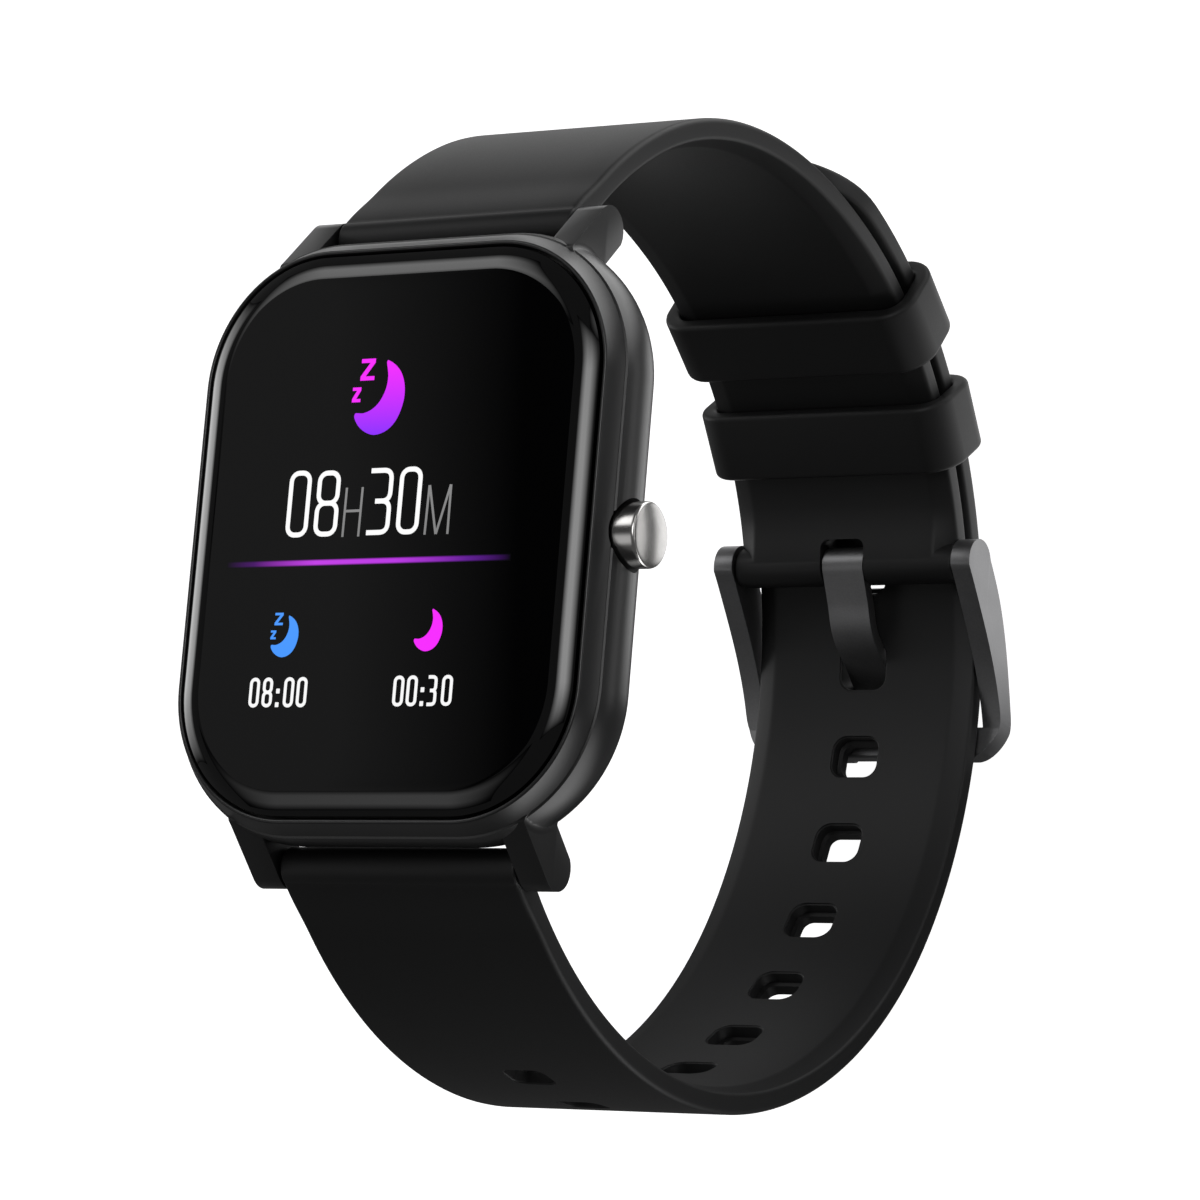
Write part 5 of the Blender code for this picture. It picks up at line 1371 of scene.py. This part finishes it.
CRESCENT = (
    (-0.78, 12.3), (-0.22, 11.99), (0.32, 11.46), (0.67, 10.75), (0.81, 10.0), (0.77, 9.22),
    (0.49, 8.3), (0.03, 7.58), (-0.63, 7.1), (-1.48, 6.9), (-2.26, 7.12), (-2.91, 7.6), (-3.3, 8.2),
    (-3.26, 8.5), (-3.1, 8.54), (-2.52, 8.52), (-1.79, 8.81), (-1.2, 9.39), (-0.8, 10.25),
    (-0.71, 11.18), (-0.9, 12.06), (-0.88, 12.24),
)
CRESCENT_CENTRE = (-1.26, 9.62)


def crescent(centre, scale):
    points = flowing(CRESCENT, 3, closed=True)
    cx, cy = CRESCENT_CENTRE
    return [(centre[0] + (p.x - cx) * scale, centre[1] + (p.y - cy) * scale) for p in points]


def letter_z(low, high, stroke):
    """Bold letter Z as one outline."""
    (left, base), (right, top) = low, high
    lean = stroke * 1.45
    return [
        (left, top),
        (right, top),
        (right, top - stroke),
        (left + lean, base + stroke),
        (right, base + stroke),
        (right, base),
        (left, base),
        (left, base + stroke),
        (right - lean, top - stroke),
        (left, top - stroke),
    ]


def draw_hours(white, grey):
    digits = zero(-8.2, -6.64, -0.17, 4.33, BIG_CORNER)
    digits += eight(-5.79, -4.11, -0.17, 4.26, BIG_CORNER)
    digits += three(-1.4, 0.36, -0.17, 4.3, 0.66)
    digits += zero(1.25, 2.81, -0.2, 4.31, BIG_CORNER)
    strokes("screen_hours", digits, BIG_STROKE, white)
    letter_h = [
        [(-3.4, -0.42), (-3.38, 3.14)],
        [(-2.05, -0.42), (-2.03, 3.14)],
        [(-3.35, 1.44), (-2.06, 1.45)],
    ]
    letter_m = [
        [(3.56, -0.44), (3.63, 3.1)],
        [(3.66, 3.1), (4.48, -0.42)],
        [(4.5, -0.42), (5.42, 3.1)],
        [(5.44, 3.1), (5.47, -0.44)],
    ]
    strokes("screen_units", [(line, False) for line in letter_h + letter_m], UNIT_STROKE, grey)


def draw_times(white):
    digits = []
    for shape, low_x, high_x, low_y in (
        (zero, -10.07, -9.44, -12.48),
        (eight, -8.94, -8.3, -12.48),
        (zero, -7.1, -6.47, -12.5),
        (zero, -5.99, -5.35, -12.5),
        (zero, 2.2, 2.86, -12.52),
        (zero, 3.33, 3.98, -12.52),
        (three, 4.98, 5.62, -12.52),
        (zero, 6.25, 6.9, -12.52),
    ):
        digits += shape(low_x, high_x, low_y, -10.58, SMALL_CORNER)
    strokes("screen_times", digits, SMALL_STROKE, white)
    colons = colon(-7.72, -12.42, -11.44, 0.15) + colon(4.54, -12.46, -11.48, 0.15)
    filled("screen_colons", colons, white)


def draw_icons(violet, pink, blue):
    filled("screen_moon", [crescent(CRESCENT_CENTRE, 1)], violet)
    letters = [letter_z((-3.08, 10.9), (-1.89, 12.48), 0.3)]
    letters += [letter_z((-3.64, 9.34), (-2.92, 10.42), 0.24)]
    filled("screen_moon_z", letters, pink)
    filled("screen_rest_moon", [crescent((-7.56, -7.5), 0.555)], blue)
    letters = [letter_z((-8.55, -6.69), (-7.84, -5.79), 0.18)]
    letters += [letter_z((-8.8, -7.7), (-8.34, -7.06), 0.15)]
    filled("screen_rest_z", letters, blue)
    filled("screen_nap_moon", [crescent((4.6, -7.25), 0.555)], pink)


def draw_line():
    low_x, high_x, middle_y, half_y = -13.2, 10.9, -2.22, 0.24
    base, top = middle_y - half_y, middle_y + half_y
    line = [(low_x, base), (high_x, base), (high_x, top), (low_x, top)]
    filled("screen_line", [line], glow_line(low_x * MM, high_x * MM, middle_y * MM, half_y * MM))


def draw_screen():
    white = lit_ink("white_pixels", (0.95, 0.95, 0.95), (1, 1, 1), -13 * MM, 5 * MM)
    grey = lit_ink("grey_pixels", (0.22, 0.22, 0.22), (0.26, 0.26, 0.26), -1 * MM, 4 * MM)
    violet = lit_ink("violet_pixels", (0.26, 0.03, 1.0), (0.87, 0.026, 1.0), 6.9 * MM, 11.6 * MM)
    pink = lit_ink("pink_pixels", (0.93, 0.024, 1.0), (0.96, 0.028, 1.0), -9 * MM, 12 * MM)
    blue = lit_ink("blue_pixels", (0.062, 0.31, 1.0), (0.075, 0.33, 1.0), -9 * MM, -5 * MM)
    draw_hours(white, grey)
    draw_times(white)
    draw_icons(violet, pink, blue)
    draw_line()


# Scene

CAD_FINISHES = (
    satin_black_case,
    cover_glass,
    polished_steel,
    black_silicone,
    dark_buckle_metal,
    bar_steel,
    seal_rubber,
    display_laminate,
    circuit_board,
    tin_plate,
    cell_foil,
    frame_plastic,
    gold_contact,
    back_plastic,
    sensor_resin,
    flex_film,
    lamp_resin,
)


def dress_nodes(finishes):
    """Gives every CAD node that still shows the finish its record names."""
    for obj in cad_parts.values():
        for slot in obj.material_slots:
            name = slot.material.name.split(".")[0]
            if name in finishes:
                slot.material = finishes[name]


def add_camera():
    data = bpy.data.cameras.new("photo_view")
    data.lens = LENS
    data.sensor_width = SENSOR
    data.clip_start = 0.01
    camera = on_bench("photo_view", data)
    columns = (CAMERA_RIGHT, CAMERA_UP, CAMERA_BACK, CAMERA_PLACE)
    camera.matrix_world = Matrix([[column[i] for column in columns] for i in range(3)] + [(0, 0, 0, 1)])
    bpy.context.scene.camera = camera


def light_card(name, place, turn, size, radiance, colour):
    """Glowing card that the camera itself does not see; colour(finish) says how it fades."""
    bm = bmesh.new()
    bmesh.ops.create_grid(bm, x_segments=1, y_segments=1, size=0.5)
    bmesh.ops.scale(bm, vec=(size[0], size[1], 1), verts=bm.verts)
    card = on_bench(name, mesh_from(bm, name))
    card.matrix_world = Matrix.Translation(place) @ turn
    f = Finish(name + "_glow")
    f.surface(Base_Color=(0, 0, 0), Roughness=1.0, Emission_Color=colour(f), Emission_Strength=radiance)
    card.data.materials.append(f.material)
    card.visible_camera = False
    return card


def soft_edges(size, soft):
    """Even in the middle, fading to nothing over the soft share of each half."""

    def colour(f):
        fades = []
        for axis, length, share in zip("XY", size, soft):
            out = abs(f.along(axis)) / (length / 2)
            fades.append(f.node("ValToRGB", {"stops": ((1 - share, (1, 1, 1)), (1, (0, 0, 0)))}, Fac=out))
        return f.blend((0, 0, 0), fades[0], fades[1])

    return colour


def facing(toward):
    """Turn of a card whose back lies towards a direction, with its X level across the watch."""
    back = Vector(toward).normalized()
    across = Vector((1, 0, 0)) - back * back.x
    if across.length < 0.4:
        across = Vector((0, 1, 0)) - back * back.y
    across.normalize()
    along = back.cross(across)
    return Matrix([(across[i], along[i], back[i], 0) for i in range(3)] + [(0, 0, 0, 1)])


def softbox(name, toward, size, radiance, soft=(0.8, 0.6), distance=0.6):
    """Soft card in the given direction, facing the watch."""
    place = Vector(toward).normalized() * distance
    return light_card(name, place, facing(toward), size, radiance, soft_edges(size, soft))


def floor_card(name, low, high, radiance):
    """Soft card lying on the floor."""
    size = (high[0] - low[0], high[1] - low[1])
    place = ((low[0] + high[0]) / 2, (low[1] + high[1]) / 2, FLOOR_CARD_Z)
    return light_card(name, place, FLAT, size, radiance, soft_edges(size, FLOOR_CARD_SOFT))


def screen_flag():
    """Dim card that the flat glass mirrors: grey on one side, black on the other."""
    toward = Vector(FLAG_TOWARD).normalized()

    def colour(f):
        run = (f.along("X") + FLAG_RUN / 2) / FLAG_RUN
        return f.node("ValToRGB", {"stops": ((0.28, (0.21, 0.21, 0.21)), (0.58, (0, 0, 0)))}, Fac=run)

    place, size = toward * FLAG_DISTANCE, (FLAG_SIZE, FLAG_SIZE)
    card = light_card("screen_flag", place, facing(toward), size, 1.0, colour)
    card.visible_diffuse = False
    card.visible_shadow = False


def add_lights():
    """Strips that draw the highlights on the glass, walls for the case, and floor cards under the watch."""
    softbox("top_strip", (-0.52, 0.55, 0.65), (0.4, 0.42), 2.7, (0.9, 0.6))
    right = softbox("right_strip", (0.3, 0.17, 0.94), (0.36, 0.46), 5.8, (0.75, 0.9))
    softbox("left_strip", (-0.96, 0.17, 0.08), (0.46, 0.44), 3.6, (0.9, 0.5))
    softbox("bottom_strip", (-0.52, -0.35, 0.77), (0.46, 0.44), 0.9, (0.95, 0.6))
    softbox("right_wall", (0.98, 0.17, 0.1), (0.5, 0.26), 2.0, (0.4, 0.9))
    softbox("front_wall", (0.2, -0.95, 0.1), (0.5, 0.4), 0.25)
    softbox("overhead", (0.55, 0.62, 0.56), (0.3, 0.3), 1.8, (0.7, 0.7))
    floor_card("floor_near", (-0.03, -0.006), (0.062, 0.05), 1.4)
    floor_card("floor_far", (0.082, -0.02), (0.14, 0.07), 1.1)
    floor_card("floor_back", (-0.18, 0.05), (0.0, 0.24), 1.2)
    front = floor_card("floor_front", (0.012, -0.36), (0.28, -0.045), 3.0)
    behind = floor_card("floor_behind", (-0.02, 0.055), (0.22, 0.28), 3.0)
    for card in (right, front, behind):
        card.visible_diffuse = False  # these three only show as reflections
    screen_flag()


def add_floor():
    bm = bmesh.new()
    bmesh.ops.create_grid(bm, x_segments=8, y_segments=8, size=3)
    floor = on_bench("floor", mesh_from(bm, "floor"))
    floor.location.z = FLOOR_Z
    f = Finish("pale_floor")
    cloud = f.grain(120 * MM, 2)
    floor.data.materials.append(
        f.surface(
            Base_Color=f.blend((0.8, 0.8, 0.8), (0.84, 0.84, 0.84), cloud),
            Roughness=0.9,
            Emission_Color=(1, 1, 1),
            Emission_Strength=1.0,
        )
    )
    floor.visible_glossy = False
    floor.visible_diffuse = False
    floor.visible_shadow = False


def set_world():
    world = bpy.data.worlds.new("studio")
    world.use_nodes = True
    world.node_tree.nodes["Background"].inputs["Color"].default_value = (0.11, 0.11, 0.11, 1)
    bpy.context.scene.world = world
    bpy.context.scene.view_settings.view_transform = "Standard"


add_camera()
finishes = {make.__name__: make() for make in CAD_FINISHES}
dress_nodes(finishes)
make_case(finishes["satin_black_case"])
make_glass(finishes["cover_glass"])
make_button(finishes["polished_steel"])
make_upper_strap(finishes["black_silicone"])
make_lower_strap(finishes["black_silicone"])
make_keeper("inner_band_loop", "inner_loop", "keeper_inner", INNER_KEEPER_ANGLE, finishes["black_silicone"])
make_keeper("outer_band_loop", "outer_loop", "keeper_outer", OUTER_KEEPER_ANGLE, finishes["black_silicone"])
make_buckle(finishes["dark_buckle_metal"])
make_coil("upper_bar_coil", "bar_spring_upper", finishes["bar_steel"])
make_coil("lower_bar_coil", "bar_spring_lower", finishes["bar_steel"])
draw_screen()
add_lights()
add_floor()
set_world()
